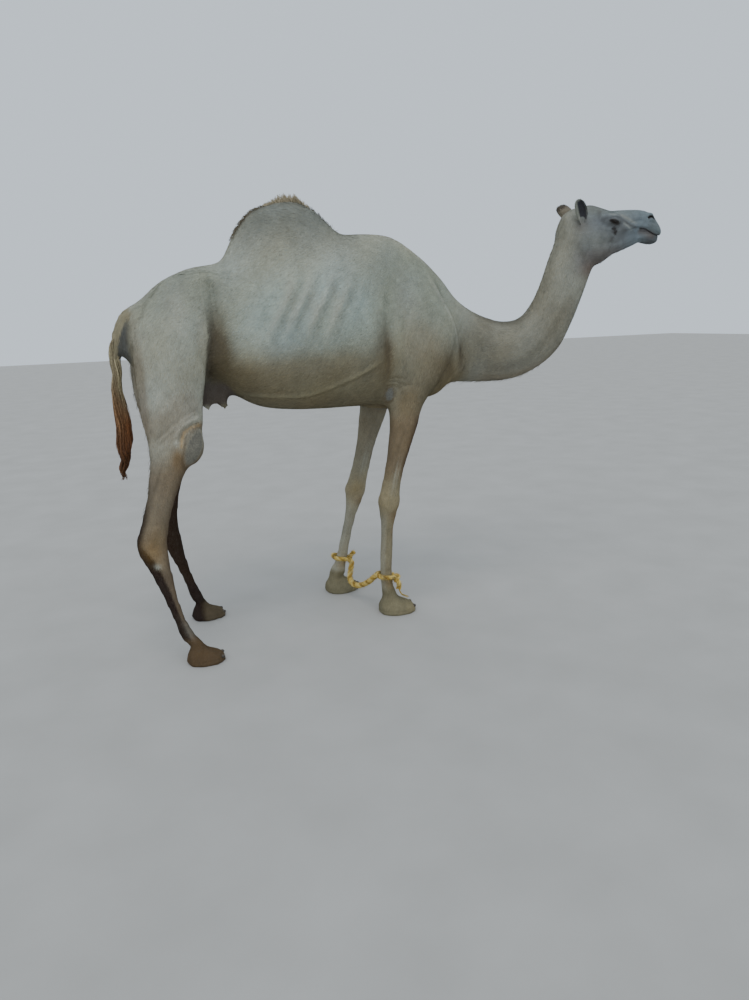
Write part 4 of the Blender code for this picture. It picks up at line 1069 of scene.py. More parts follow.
def legPaint(colour, points, pair, side, slices):
    # a leg's tones, by height and by the share from its back to its front
    share, _ = legShare(points, slices)
    z = points[:, 2]
    mask = legMask(points, pair, side) * ramp(z, 1.10, 0.98)

    def spot(at, height, wide, tall):
        return bellOf(np.stack([share, z], axis=1), (at, height), (wide, tall))

    if pair == "fore":
        # the far leg is painted paler as painted light against the shade it stands in: less of the darker
        # tones
        near = 1.0 if side < 0 else 0.35
        layers = [
            ("foreLeg", ramp(z, 1.12, 0.98) * 0.9),
            ("tan", ramp(z, 0.66, 0.80) * near * 0.55),
            ("gaskin", ramp(z, 0.70, 0.82) * near * 0.75),
            ("rearLeg", ramp(share, 0.52, 0.98) * ramp(z, 0.68, 0.80) * near * 0.85),
            ("tan", ramp(share, 0.55, 0.95) * ramp(z, 0.36, 0.46) * ramp(z, 0.62, 0.54) * 0.8),
            ("white", ramp(share, 0.40, 0.10) * ramp(z, 0.60, 0.50) * 0.35),
            # painted light over the far leg
            ("white", (side > 0) * (0.30 + 0.20 * ramp(z, 0.70, 0.64))),
            ("knee", spot(0.40, 0.62, 0.60, 0.065)),
            ("pastern", spot(0.60, 0.180, 0.50, 0.030) * 0.22),
            ("white", spot(0.48, 0.740, 0.16, 0.075) * (0.35 + 0.25 * np.sin(share * 34))),
            ("tan", spot(0.75, 0.545, 0.34, 0.028) * 0.65),
            ("foreFoot", ramp(z, 0.150, 0.120)),
        ]
    elif side < 0:
        limit = np.interp(z, (0.20, 0.35, 0.50, 0.56), (0.64, 0.60, 0.42, 0.20))
        layers = [
            ("gaskin", ramp(z, 1.04, 0.86) * 0.85),
            ("tan", spot(0.55, 0.570, 0.50, 0.100) * 0.75),
            ("rearLeg", ramp(z, 0.50, 0.40) * 0.60),
            ("darkLeg", ramp(share, 0.26, 0.02) * ramp(z, 0.92, 0.62)),
            ("darkLeg", ramp(share, limit + 0.10, limit - 0.08) * ramp(z, 0.60, 0.52)),
            ("gaskin", spot(0.84, 0.340, 0.12, 0.150) * 0.7),
            ("darkLeg", ramp(share, 0.93, 1.02) * ramp(z, 0.54, 0.46) * 0.6),
            ("rearLeg", ramp(share, 0.70, 0.98) * ramp(z, 0.98, 0.80) * 0.45),
            ("pastern", spot(0.42, 0.535, 0.34, 0.055) * 0.24),
            ("white", spot(0.46, 0.470, 0.12, 0.011) * 0.85),
            ("callus", spot(0.80, 0.165, 0.30, 0.045) * 0.55),
            ("hindFoot", ramp(z, 0.135, 0.105)),
        ]
    else:
        # the left one is dark inside and behind, and paler on its outer face
        _, _, middle, half = legAt(slices, z)
        outer = ramp((points[:, 1] - middle) / half, 0.05, 0.80) * ramp(share, 0.08, 0.36)
        inside = 1 - outer * ramp(z, 0.20, 0.42)
        dark = ramp(z, 0.86, 0.60) * (0.75 + 0.25 * ramp(z, 0.26, 0.18))
        layers = [
            ("gaskin", ramp(z, 1.04, 0.86) * 0.85),
            ("rearLeg", ramp(z, 1.02, 0.80) * (0.35 + 0.65 * inside)),
            ("darkLeg", dark * (0.12 + 0.88 * inside)),
            ("darkLeg", ramp(z, 0.135, 0.110) * 0.8),
            ("farFoot", ramp(z, 0.115, 0.080) * ramp(share, 0.55, 1.15)),
        ]
    paint(colour, layers, mask)


def bodyPaint(colour, points, normals):
    # trunk, hump and neck
    x, y, z = points.T
    side, trunk = points[:, [0, 2]], ramp(x, 0.98, 0.80)
    off = trunk * ramp(np.abs(y), 0.01, 0.09)
    paint(colour, ((tone, strength * np.minimum(bellOf(side, (px, pz), (rx, rz)) * 1.4, 1) * off)
                   for px, pz, rx, rz, tone, strength in patches))
    under = ramp(normals[:, 2], -0.05, -0.75)
    low = ramp(z, 1.44, 1.18) * trunk * ramp(x, -0.50, -0.38) * ramp(z, 0.98, 1.06)
    crest = ramp(np.abs(y), 0.055 + 0.06 * ramp(z, 1.95, 2.02), 0.015)
    neck = ramp(x, 0.82, 1.02)
    nape = ramp(normals[:, 2], 0.45, 0.85) * ramp(x, 0.84, 1.04) * ramp(x, 1.42, 1.30)
    nape = np.maximum(nape, ramp(normals[:, 0], -0.45, -0.85) * ramp(x, 1.20, 1.30))
    furrow = [(0.879, 1.3), (1.056, 1.235), (1.208, 1.262), (1.35, 1.375), (1.47, 1.55), (1.56, 1.69)]
    paint(colour, [
        # the belly's tone low on the barrel: its own colour, deepened with painted shade where the hide faces
        # down
        ("belly", np.clip(low * (0.70 + 0.30 * under), 0, 1) * 0.90),
        ("vein", 0.45 * bellOf(side, (0.080, 1.195), (0.190, 0.040))),
        ("hump", 0.90 * ramp(z, 1.74, 1.96) * ramp(np.abs(x), 0.36, 0.22)),
        ("stainAndShade", 0.45 * crest * ramp(z, 1.84, 1.94) * ramp(np.abs(x), 0.33, 0.24)),
        ("neck", neck * 0.85),
        ("under", neck * 0.60 * ramp(normals[:, 2], -0.10, -0.70) * ramp(x, 1.52, 1.40)),
        ("under", neck * 0.55 * ramp(normals[:, 0], 0.45, 0.95)),
        ("nape", 0.92 * nape * ramp(x, 1.58, 1.48)),
        # painted shade along the furrow above the windpipe, and at the neck's base
        ("nape", 0.45 * strokeOf(side, furrow, 0.040)),
        ("nape", 0.60 * bellOf(side, (0.925, 1.330), (0.085, 0.140))),
        ("cream", 0.30 * neck * ramp(z, 1.50, 1.62)),
    ])
    # painted shade in the folds at the neck's base
    for fold in ([(0.8, 1.35), (0.816, 1.319), (0.816, 1.269), (0.792, 1.221)],
                 [(0.822, 1.33), (0.838, 1.27), (0.815, 1.205)]):
        paint(colour, [("socket", 0.45 * strokeOf(side, fold, 0.0060, 0.3) * ramp(np.abs(y), 0.03, 0.06))])


def headPaint(colour, points, normals):
    y, z = points[:, 1], points[:, 2]
    head = toHead(points)
    f, across, h = head[:, 0], np.abs(head[:, 1]), head[:, 2]
    spots = head[:, [0, 2]]
    onHead = ramp(f, -0.05, 0.14) * ramp(z, 1.64, 1.78)
    # round a socket is painted shade; below its tear duct and along the lips the hide is dark
    u, v = f - eyeCentre[0], h - eyeCentre[2] + 0.20 * (f - eyeCentre[0])
    flat, beside = ramp(across, 0.025, 0.045), ramp(across, 0.045, 0.065)
    tear = strokeOf(spots, [(0.221, 1.926), (0.234, 1.908), (0.241, 1.897), (0.235, 1.882)], 0.0125, 0.2)
    nose = np.minimum(1.5 * strokeOf(spots, nostrilLine, 0.0066, 0.05), 1)
    paint(colour, [
        ("face", 1.0),
        ("cream", 0.42 * bellOf(spots, (0.130, 1.860), (0.080, 0.065))),
        ("barrel", 0.25 * ramp(h, 1.960, 2.005)),
        ("throat", 0.35 * bellOf(spots, (0.050, 1.930), (0.035, 0.030))),
        ("muzzle", ramp(f, 0.26, 0.42) * 0.85),
    ], onHead)
    paint(colour, [("throat", 0.55 * ramp(z, 1.60, 1.66) * bellOf(spots, (0.120, 1.715), (0.070, 0.045)))])
    paint(colour, [
        ("throat", 0.30 * ramp(h, 1.84, 1.79) * ramp(f, 0.40, 0.30)),
        # painted shade round the eye's socket
        ("socket", 0.42 * beside * np.exp(-(np.hypot(u / 0.042, (v + 0.002) / 0.022) ** 2))),
        ("tear", 0.95 * beside * ramp(np.hypot(u / 0.030, v / 0.0100), 1.15, 0.80)),
        *((tone, share * flat * strokeOf(spots, path, width, 0.3)) for path, width, tone, share in facePaint),
        ("tear", 0.95 * beside * np.clip(1.5 * tear * (1 + 0.5 * patchy(points, 0.005, 4)), 0, 1)),
        ("socket", 0.40 * beside * strokeOf(spots, [(0.232, 1.88), (0.222, 1.845)], 0.012, 0.3)),
        ("lip", 0.60 * ramp(f, 0.40, 0.46) * ramp(h, 1.888, 1.872)),
        ("nape", 0.35 * ramp(h, 1.975, 2.01) * ramp(f, 0.26, 0.18)),
        ("lip", 0.80 * strokeOf(spots, mouthLine, 0.0085, 0.10)),
        ("throat", 0.45 * strokeOf(spots, [(0.38, 1.905), (0.44, 1.893), (0.5, 1.872)], 0.016, 0.2)),
        ("tear", nose * ramp(across, 0.012, 0.020)),
    ], onHead)
    # the ears are dark inside, with a pale rim; the far ear is painted darker than the near one, with painted
    # shade at its top
    up, outer, opening = earOwn(head)
    ones = np.ones(len(points))
    own = normals @ headPlace[1].T * np.stack([ones, np.sign(head[:, 1]), ones], axis=1)
    inside = ramp(own @ opening, 0.0, 0.35) * ramp(outer, -0.009, -0.001) * ramp(outer, 0.033, 0.029)
    paint(colour, [
        ("cream", 0.60 * (y < 0)),
        ("gaskin", 0.60 * (y > 0)),
        ("socket", 0.85 * (y > 0) * ramp(up, 0.096, 0.108)),
        ("innerEar", inside * ramp(up, 0.124, 0.108) * ramp(up, 0.006, 0.016)),
    ], isEar(head, z))


def tailPaint(colour, points):
    # a pale dock, the dark hide under it, deepened there by painted shade, and the rust of its end
    x, y, z = points.T
    tail = ramp(x, -0.740, -0.765) * (z > 0.80) * (np.abs(y) < 0.08)
    inner = np.interp(z, (1.350, 1.419, 1.477, 1.531, 1.600), (-0.830, -0.825, -0.807, -0.778, -0.755))
    vent = ramp(x, inner, inner + 0.008) * ramp(x, -0.738, -0.754)
    vent *= ramp(z, 1.29, 1.40) * ramp(z, 1.555, 1.490)
    paint(colour, [
        ("tailTop", tail * 0.9),
        # the hide by the vent: its own dark colour with painted shade
        ("nape", 0.75 * vent * ramp(np.abs(y), 0.160, 0.090)),
        ("tailUnder", 0.88 * vent * ramp(np.abs(y), 0.105, 0.060)),
        ("rust", tail * ramp(z, 1.33, 1.20) * 0.8),
    ])


def markings(points, normals):
    x, y, z = points.T
    side = points[:, [0, 2]]
    colour = np.tile(tones["cream"], (len(points), 1))
    bodyPaint(colour, points, normals)
    headPaint(colour, points, normals)
    tailPaint(colour, points)
    # low down the tones stand further from the belly's
    paint(colour, [("udder", onUdder(points, 0.95)), ("belly", -0.415 * ramp(z, 1.30, 1.20))])
    for pair, sign, slices, _ in legTables:
        legPaint(colour, points, pair, sign, slices)
    pads, rims = padsOf(points)
    outside, out = ramp(np.abs(normals[:, 1]), 0.10, 0.40), ramp(np.abs(y), 0.10, 0.14)
    crease = strokeOf(side, [(-0.622, 0.985), (-0.606, 1.046), (-0.57, 1.074), (-0.505, 1.084)], 0.0075, 0.1)
    deep = strokeOf(side, [(-0.61, 0.985), (-0.595, 1.04), (-0.564, 1.064), (-0.505, 1.073)], 0.005, 0.1)
    # the hollow before the thigh: painted shade in front of its edge, and a painted highlight on the thigh's
    # edge behind it
    rows = (1.163, 1.226, 1.310, 1.393, 1.475, 1.556)
    edge = np.interp(z, rows, (-0.499, -0.489, -0.477, -0.468, -0.458, -0.453))
    high = ramp(z, 1.56, 1.46) * ramp(z, 1.16, 1.20) * ramp(np.abs(y), 0.09, 0.12)
    blade = [(0.628, 1.715), (0.687, 1.588), (0.74, 1.475), (0.792, 1.338)]
    paint(colour, [
        ("darkRimAndShade", 0.60 * rims),
        ("callus", pads),
        ("vein", 0.85 * outside * strokeOf(side, veinLine, 0.008, 0.1)),
        ("pastern", 0.50 * crease * out),
        # painted shade in the deepest line of the stifle's fold
        ("darkRimAndShade", 0.65 * deep * out),
        ("socket", 0.36 * high * ramp(x, edge - 0.003, edge + 0.006) * ramp(x, edge + 0.050, edge + 0.008)),
        ("cream", 0.65 * high * ramp(x, edge + 0.003, edge - 0.004) * ramp(x, edge - 0.055, edge - 0.025)),
        # painted highlight along the blade's raised front edge
        ("white", 0.55 * ramp(x, 0.98, 0.80) * strokeOf(side, blade, 0.011)),
    ])
    # ribs: a painted highlight along each rib and painted shade in the furrow before it
    for rib in (-0.112, -0.042, 0.050, 0.140):
        line = ribLine(rib)
        paint(colour, [("white", 0.50 * strokeOf(side, line, 0.016, 0.4)),
                       ("hump", 0.40 * strokeOf(side + (-0.038, 0), line, 0.016, 0.4))])
    rough = 1 + sum(depth * patchy(points, size, seed) for size, seed, depth in mottling)
    colour *= rough[:, None] * (1 + patchy(points, 0.13, 14)[:, None] * (0.030, 0.0, -0.050))
    return np.clip(colour, 0.004, 1)


def padsOf(points):
    # horny pads on the stifles, elbows and chest, and the dark rims round them
    side, across = carriedBack(points), np.abs(points[:, 1])
    pads, rims = np.zeros(len(points)), np.zeros(len(points))
    for (x, z), (rx, rz), lean, least in (
        ((-0.567, 0.980), (0.036, 0.086), 0.39, 0.17), ((0.374, 1.146), (0.021, 0.035), 0.0, 0.16),
    ):
        wide, long = side[:, 0] - x, side[:, 1] - z
        straight = math.sqrt(1 - lean**2)
        away = np.hypot((wide * straight - long * lean) / rx, (wide * lean + long * straight) / rz)
        outside = ramp(across, least, least + 0.03)
        pads = np.maximum(pads, outside * ramp(away, 1.00, 0.82))
        rims = np.maximum(rims, outside * np.exp(-(((away - 1.10) / 0.20) ** 2)))
    chest = np.linalg.norm((points - (0.42, 0, 1.04)) / (0.095, 0.075, 0.03), axis=1)
    pads = np.maximum(pads, ramp(chest, 1.1, 0.9) * (points[:, 2] < 1.08))
    return pads, rims


# materials
class Wire:
    # a shader socket: sums and products of wires add Math nodes
    def __init__(self, tree, socket=None):
        self.tree, self.socket = tree, socket

    def make(self, kind, settings, sockets, out=0):
        node = self.tree.nodes.new("ShaderNode" + kind)
        for name, value in settings.items():
            setattr(node, name, value)
        for key, value in sockets.items():
            if isinstance(value, Wire):
                self.tree.links.new(value.socket, node.inputs[key])
            else:
                node.inputs[key].default_value = value
        return Wire(self.tree, node.outputs[out])

    def math(self, operation, first, second):
        return self.make("Math", {"operation": operation}, {0: first, 1: second})

    def __add__(self, other):
        return self.math("ADD", self, other)

    def __rsub__(self, other):
        return self.math("SUBTRACT", other, self)

    def __mul__(self, other):
        return self.math("MULTIPLY", self, other)

    __radd__ = __add__

    def noise(self, place, scale, detail=3.0, stretch=(1, 1, 1)):
        spot = self.make("Mapping", {}, {"Vector": place, "Scale": stretch})
        return self.make("TexNoise", {}, {"Vector": spot, "Scale": scale, "Detail": detail})

    def band(self, value, low, high):
        # black up to one value, white from another
        made = self.make("ValToRGB", {}, {0: value})
        for element, place in zip(made.socket.node.color_ramp.elements, (low, high)):
            element.position = place
        return made

    def tinted(self, factor, first, second):
        return self.make("Mix", {"data_type": "RGBA"}, {0: factor, 6: first, 7: second}, 2)

    def bump(self, height, distance, strength):
        return self.make("Bump", {}, {"Height": height, "Distance": distance, "Strength": strength})


def material(name, constants, build):
    # build gets the wire maker and the object's place, and returns what varies, by socket name
    made = bpy.data.materials.new(name)
    made.use_nodes = True
    tree = made.node_tree
    shader = tree.nodes["Principled BSDF"]
    for socket, value in constants.items():
        shader.inputs[socket].default_value = value
    wire = Wire(tree)
    place = wire.make("TexCoord", {}, {}, "Object")
    for socket, value in build(wire, place).items():
        tree.links.new(value.socket, shader.inputs[socket])
    return made


def looks(colour, roughness, normal):
    return {"Base Color": colour, "Roughness": roughness, "Normal": normal}


def attribute(wire, name, out="Color"):
    return wire.make("Attribute", {"attribute_name": name}, {}, out)


def hideLooks(wire, place):
    hide, bare = attribute(wire, "hide"), attribute(wire, "bare", "Fac")
    specks = wire.noise(place, 210, 2.0)
    mottle = wire.noise(place, 17, 4.0)
    dark = wire.band(specks, 0.50, 0.70) * 0.26 + wire.band(mottle, 0.50, 0.80) * 0.14
    colour = wire.tinted(dark, hide, (0.10, 0.085, 0.065, 1))
    pale = wire.noise(place, 520, 1.0, (1, 1, 0.35))
    colour = wire.tinted(wire.band(pale, 0.55, 0.75) * 0.12, colour, (0.62, 0.60, 0.52, 1))
    # hairs run back and down the trunk, and straight down where the hide is marked so
    leaning = wire.make("Mapping", {}, {"Vector": place, "Rotation": (0, 0.60, 0)})
    upright = attribute(wire, "upright", "Fac")
    strands = wire.noise(leaning, 520, 2.0, (0.10, 1.0, 1.0)) * (1 - upright)
    strands = strands + wire.noise(place, 520, 2.0, (1.0, 1.0, 0.10)) * upright
    clumps = wire.noise(leaning, 150, 2.0, (0.30, 1.0, 1.0)) * (1 - upright)
    clumps = clumps + wire.noise(place, 150, 2.0, (1.0, 1.0, 0.30)) * upright
    colour = wire.tinted(wire.band(strands, 0.35, 0.65) * 0.22 * (1 - bare), colour, (0.12, 0.10, 0.08, 1))
    coat = strands * 0.8 + clumps * 0.7
    pebbles = wire.make("TexVoronoi", {"feature": "F1"}, {"Vector": place, "Scale": 140})
    colour = wire.tinted(bare * wire.band(pebbles, 0.35, 0.75) * 0.34, colour, (0.085, 0.080, 0.070, 1))
    creases = wire.noise(place, 60, 5.0)
    height = coat * (1 - bare) + ((1 - pebbles) * 1.2 + creases * 0.7) * bare
    roughness = 0.86 - bare * 0.22 + mottle * 0.06
    return looks(colour, roughness, wire.bump(height, 0.0022, 0.75))


def coatLooks(wire, place):
    hide = attribute(wire, "hide")
    strands = wire.noise(attribute(wire, "grain", "Vector"), 3.2, 2.0)
    colour = wire.tinted(wire.band(strands, 0.35, 0.65) * 0.30, hide, (0.16, 0.13, 0.10, 1))
    mottle = wire.noise(place, 40, 2.0)
    colour = wire.tinted(wire.band(mottle, 0.45, 0.80) * 0.12, colour, (0.20, 0.18, 0.15, 1))
    return looks(colour, 0.80 + strands * 0.10, wire.bump(strands, 0.0004, 0.5))


def eyeLooks(wire, place):
    streaks = wire.noise(place, 900, 4.0)
    hide = attribute(wire, "hide")
    colour = wire.tinted(wire.band(streaks, 0.35, 0.70) * 0.55, hide, (0.012, 0.007, 0.004, 1))
    return looks(colour, 0.05 + streaks * 0.03, wire.bump(streaks, 0.0001, 0.08))


def nailLooks(wire, place):
    rings = wire.noise(place, 60, 3.0, (0.4, 0.4, 5.0))
    grain = wire.noise(place, 300, 3.0)
    colour = wire.tinted(wire.band(rings, 0.30, 0.70), (0.030, 0.024, 0.018, 1), (0.10, 0.080, 0.060, 1))
    bumps = wire.bump(rings + grain * 0.4, 0.0012, 0.6)
    return looks(colour, 0.42 + grain * 0.25, bumps)


def ropeLooks(wire, place):
    hide = attribute(wire, "hide")
    fibres = wire.noise(place, 700, 3.0)
    soil = wire.noise(place, 34, 4.0)
    colour = wire.tinted(wire.band(fibres, 0.35, 0.72) * 0.55, hide, (0.62, 0.42, 0.09, 1))
    colour = wire.tinted(wire.band(soil, 0.48, 0.70) * 0.70, colour, (0.13, 0.070, 0.020, 1))
    return looks(colour, 0.72 + fibres * 0.2, wire.bump(fibres, 0.0012, 0.8))


def switchLooks(wire, place):
    hide = attribute(wire, "hide")
    strands = wire.noise(place, 620, 3.0, (1, 1, 0.12))
    colour = wire.tinted(wire.band(strands, 0.38, 0.66) * 0.65, hide, (0.035, 0.016, 0.008, 1))
    return looks(colour, 0.50 + strands * 0.2, wire.bump(strands, 0.0012, 0.8))


def lashLooks(wire, place):
    strands = wire.noise(place, 800, 2.0)
    colour = wire.tinted(strands, (0.012, 0.010, 0.008, 1), (0.05, 0.04, 0.03, 1))
    return {"Base Color": colour, "Roughness": 0.45 + strands * 0.2}


hideMaterial = material("hide", {"Specular IOR Level": 0.06}, hideLooks)
coatMaterial = material("coat", {"Specular IOR Level": 0.06}, coatLooks)
eyeMaterial = material("eye", {"IOR": 1.38, "Coat Roughness": 0.03}, eyeLooks)
nailMaterial = material("nail_horn", {"Specular IOR Level": 0.45}, nailLooks)
ropeMaterial = material("rope", {"Specular IOR Level": 0.25}, ropeLooks)
switchMaterial = material("switch", {"Specular IOR Level": 0.35}, switchLooks)
lashMaterial = material("lashes", {"Specular IOR Level": 0.35}, lashLooks)


# coat
def bigPiece(name, points, triangles, finish, colours=None, marks=None, smooth=False, grain=None):
    # a piece straight from arrays, with colours at its points and marks as its unwrap
    mesh = bpy.data.meshes.new(name)
    mesh.vertices.add(len(points))
    mesh.vertices.foreach_set("co", np.ascontiguousarray(points + barrel).ravel())
    mesh.loops.add(triangles.size)
    mesh.loops.foreach_set("vertex_index", np.ascontiguousarray(triangles).ravel())
    mesh.polygons.add(len(triangles))
    mesh.polygons.foreach_set("loop_start", np.arange(len(triangles)) * 3)
    mesh.update(calc_edges=True)
    if smooth:
        mesh.shade_smooth()
    else:
        mesh.shade_flat()
    if colours is not None:
        dye(mesh, colours)
    if marks is not None:
        chart = mesh.uv_layers.new(name="OFBake")
        chart.uv.foreach_set("vector", marks[triangles.ravel()].ravel())
    if grain is not None:
        layer = mesh.attributes.new("grain", "FLOAT_VECTOR", "POINT")
        layer.data.foreach_set("vector", grain.astype(np.float32).ravel())
    mesh.materials.append(finish)
    piece = linked(name, mesh)
    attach(piece, "root")
    print("made", name, len(triangles))
    return piece


def dye(mesh, colours):
    layer = mesh.color_attributes.new("hide", "FLOAT_COLOR", "POINT")
    layer.data.foreach_set("color", np.hstack([colours, np.ones((len(colours), 1))]).ravel())


def unit(rows):
    return rows / np.maximum(np.linalg.norm(rows, axis=-1, keepdims=True), 1e-9)


neckPath = smoothRows([((a + c) / 2, 0.0, (b + d) / 2) for a, b, c, d, *_ in neckSlices], 3)
earAxis = earFrame(1)[2]


def neckNear(points):
    # the neck path's nearest place to each point, seen from the side
    return np.abs(points[:, None, [0, 2]] - neckPath[None, :, [0, 2]]).sum(axis=2).argmin(axis=1)


def regionOf(points):
    # 0 head, 1 neck, 2 trunk's right, 3 its left, 4 hind legs, 5 front legs and tail
    x, y, z = points.T
    region = np.where(y < 0, 2, 3)
    region[(z < 1.02) & (x < hindStart)] = 4
    region[((z < 1.06) & (x > 0.05)) | (x < tailStart)] = 5
    region[x > neckStart] = 1
    region[(toHead(points)[:, 0] > -0.01) & (z > headLow)] = 0
    return region


def lieOf(points):
    # the way the hair lies: back and down the trunk, down the neck and legs, back from the muzzle
    x, _, z = points.T
    way = np.tile((-0.80, 0.0, -0.55), (len(points), 1))
    for share, aim in (
        (ramp(z, 1.74, 2.03) * ramp(np.abs(x), 0.42, 0.28), (-0.85, 0.0, 0.40)),  # hump
        (ramp(x, -0.44, -0.60) * ramp(z, 1.60, 1.30), (-0.25, 0.0, -1.0)),  # haunch
        (ramp(x, 0.30, 0.50) * ramp(z, 1.55, 1.25), (-0.35, 0.0, -1.0)),  # shoulder
        (ramp(z, 1.14, 1.02), (-0.12, 0.0, -1.0)),  # legs
    ):
        way += share[:, None] * (aim - way)
    onNeck = x > neckStart
    run = -unit(np.gradient(neckPath, axis=0))[neckNear(points[onNeck])]
    blend = ramp(x[onNeck], neckStart, 1.00)[:, None]
    way[onNeck] += blend * (run + (0, 0, -0.15) - way[onNeck])
    head = toHead(points)
    onHead = (ramp(head[:, 0], -0.04, 0.10) * ramp(z, 1.64, 1.78))[:, None]
    way += onHead * ((-1.0, 0.0, -0.22) @ headPlace[1] - way)
    ear = isEar(head, z)
    side = np.sign(head[ear][:, 1:2])
    way[ear] = (earAxis * np.hstack([side * 0 + 1, side, side * 0 + 1])) @ headPlace[1]
    way[(x < tailStart) & (z > 1.15)] = (-0.10, 0.0, -1.0)
    return way


def coatSize(points, normals):
    # how long a place's hair is, and how much of it grows (0 is bare)
    x, _, z = points.T
    head = toHead(points)
    onHead = ramp(head[:, 0], -0.05, 0.10) * ramp(z, 1.62, 1.76)
    length = 0.0165 + 0.012 * ramp(z, 1.90, 2.02) * (np.abs(x) < 0.4)
    for aim, high, low in ((0.0120, 1.08, 0.90), (0.0085, 0.40, 0.16), (0.0065, 0.13, 0.06)):
        length += (aim - length) * ramp(z, high, low)
    nape = ramp(x, 1.10, 1.20) * ramp(normals[:, 0], -0.30, -0.75)
    length += 0.009 * nape * (1 - onHead)
    length += (0.0095 - length) * onHead
    length += (0.0062 - length) * onHead * ramp(head[:, 0], 0.22, 0.40)
    length = np.where((x < tailStart) & (z > 1.15), 0.024, length)
    udder = onUdder(points, 1.00)
    length += (0.0070 - length) * udder
    pads, _ = padsOf(points)
    grown = (1 - 0.7 * udder) * (1 - pads) * ramp(z, 0.010, 0.020)
    across = np.abs(head[:, 1])
    eye = np.hypot((head[:, 0] - eyeCentre[0]) / 1.25, head[:, 2] - eyeCentre[2])
    spots = head[:, [0, 2]]
    hole = (eye < 0.0145) & (across > 0.05)
    lips = strokeOf(spots, mouthLine, 0.0060, 0.0) > 0.30
    nose = (strokeOf(spots, nostrilLine, 0.0050, 0.0) > 0.35) & (across > 0.018)
    grown *= ~((hole | lips | nose) & (z > headLow))
    return length, grown


def shellTriangles(mesh):
    mesh.calc_loop_triangles()
    return rowsOf(mesh.loop_triangles, "vertices", 3, int)


def rootsOn(mesh, thickness):
    # random roots, as dense at each triangle as the thickness of growth asks, with normals and lie
    points, _ = net(mesh)
    normals, corners = normalsOf(mesh), shellTriangles(mesh)
    a, b, c = points[corners[:, 0]], points[corners[:, 1]], points[corners[:, 2]]
    area = np.linalg.norm(np.cross(b - a, c - a), axis=1) / 2
    wanted = area * thickness((a + b + c) / 3, unit(normals[corners].sum(axis=1)))
    picked = np.repeat(np.arange(len(corners)), (wanted + rng.random(len(corners))).astype(int))
    root, split = np.sqrt(rng.random(len(picked))), rng.random(len(picked))
    shares = np.stack([1 - root, root * (1 - split), root * split], axis=1)[:, :, None]
    picked = corners[picked]
    roots, faced = (points[picked] * shares).sum(axis=1), unit((normals[picked] * shares).sum(axis=1))
    way = lieOf(roots)
    return roots, faced, unit(way - (way * faced).sum(axis=1)[:, None] * faced)


def chartOf(points, region):
    # an unwrap of the hide's own shape: round and along the trunk, neck, head, legs and ears
    x, y, z = points.T
    if region in (2, 3):
        across, along = np.arctan2(np.abs(y), z - 1.40) / math.pi, (x + 0.95) / 1.95
        return np.stack([0.02 + 0.96 * across, 0.02 + 0.96 * along], axis=1)
    if region == 1:
        near = neckNear(points)
        middle, run = neckPath[near], unit(np.gradient(neckPath, axis=0))[near]
        step = ((points - middle) * run).sum(axis=1)
        lift = ((points - middle) * np.stack([-run[:, 2], 0 * x, run[:, 0]], axis=1)).sum(axis=1)
        along = np.clip((near * 0.045 + step) / (len(neckPath) * 0.048), 0, 1)
        return np.stack([0.5 + 0.48 * np.arctan2(y, lift) / math.pi, 0.02 + 0.96 * along], axis=1)
    if region == 0:
        head = toHead(points)
        ear = isEar(head, z)
        turned = np.arctan2(head[:, 1], head[:, 2] - 1.90) / math.pi
        chart = np.stack([0.5 + 0.48 * turned, 0.30 + 0.68 * (head[:, 0] + 0.06) / 0.62], axis=1)
        place = head - np.multiply(earBase, np.stack([0 * x + 1, np.sign(head[:, 1]), 0 * x + 1], axis=1))
        round_ = np.arctan2(place[:, 0], np.abs(place[:, 1]) - 0.20 * place[:, 2])
        chart[ear, 0] = 0.25 + 0.5 * (head[ear, 1] > 0) + 0.22 * round_[ear] / math.pi
        chart[ear, 1] = 0.02 + 0.24 * np.clip(place[ear, 2] / 0.13, 0, 1)
        return chart
    # two legs beside each other, and the tail above them
    left = y > 0
    back, front, _, _ = legAt(hindRightSlices if region == 4 else foreRightSlices, z)
    middleX, middleY = (back + front) / 2, np.where(left, 0.20, -0.165)
    if region == 4:
        middleX, middleY = middleX + left * leftSteps(z)[0], np.where(left, 0.215, -0.215)
    turned = np.arctan2(y - middleY, x - middleX) / math.pi
    chart = np.stack([0.25 + 0.5 * left + 0.23 * turned, 0.02 + 0.66 * np.clip(z / 1.12, 0, 1)], axis=1)
    tail = x < -0.77
    if region == 5:
        chart[tail, 0] = 0.5 + 0.48 * np.arctan2(y[tail], x[tail] + 0.82) / math.pi
        chart[tail, 1] = 0.72 + 0.26 * np.clip((z[tail] - 1.10) / 0.50, 0, 1)
    return chart


offFloor = 0.001  # the least height of hair and rope
patch = np.array([(0.0, -0.0014), (-0.0012, 0.0002), (0.0012, 0.0002), (0.0, 0.0014)])


def grounded(skin, points):
    # the nearest places on the skin
    mesh = bpy.data.meshes.new("probe")
    mesh.vertices.add(len(points))
    mesh.vertices.foreach_set("co", points.ravel())
    probe = linked("probe", mesh)
    wrap = probe.modifiers.new("wrap", "SHRINKWRAP")
    wrap.target = skin
    found = rowsOf(settle(probe).vertices, "co")
    bpy.data.objects.remove(probe)
    return found


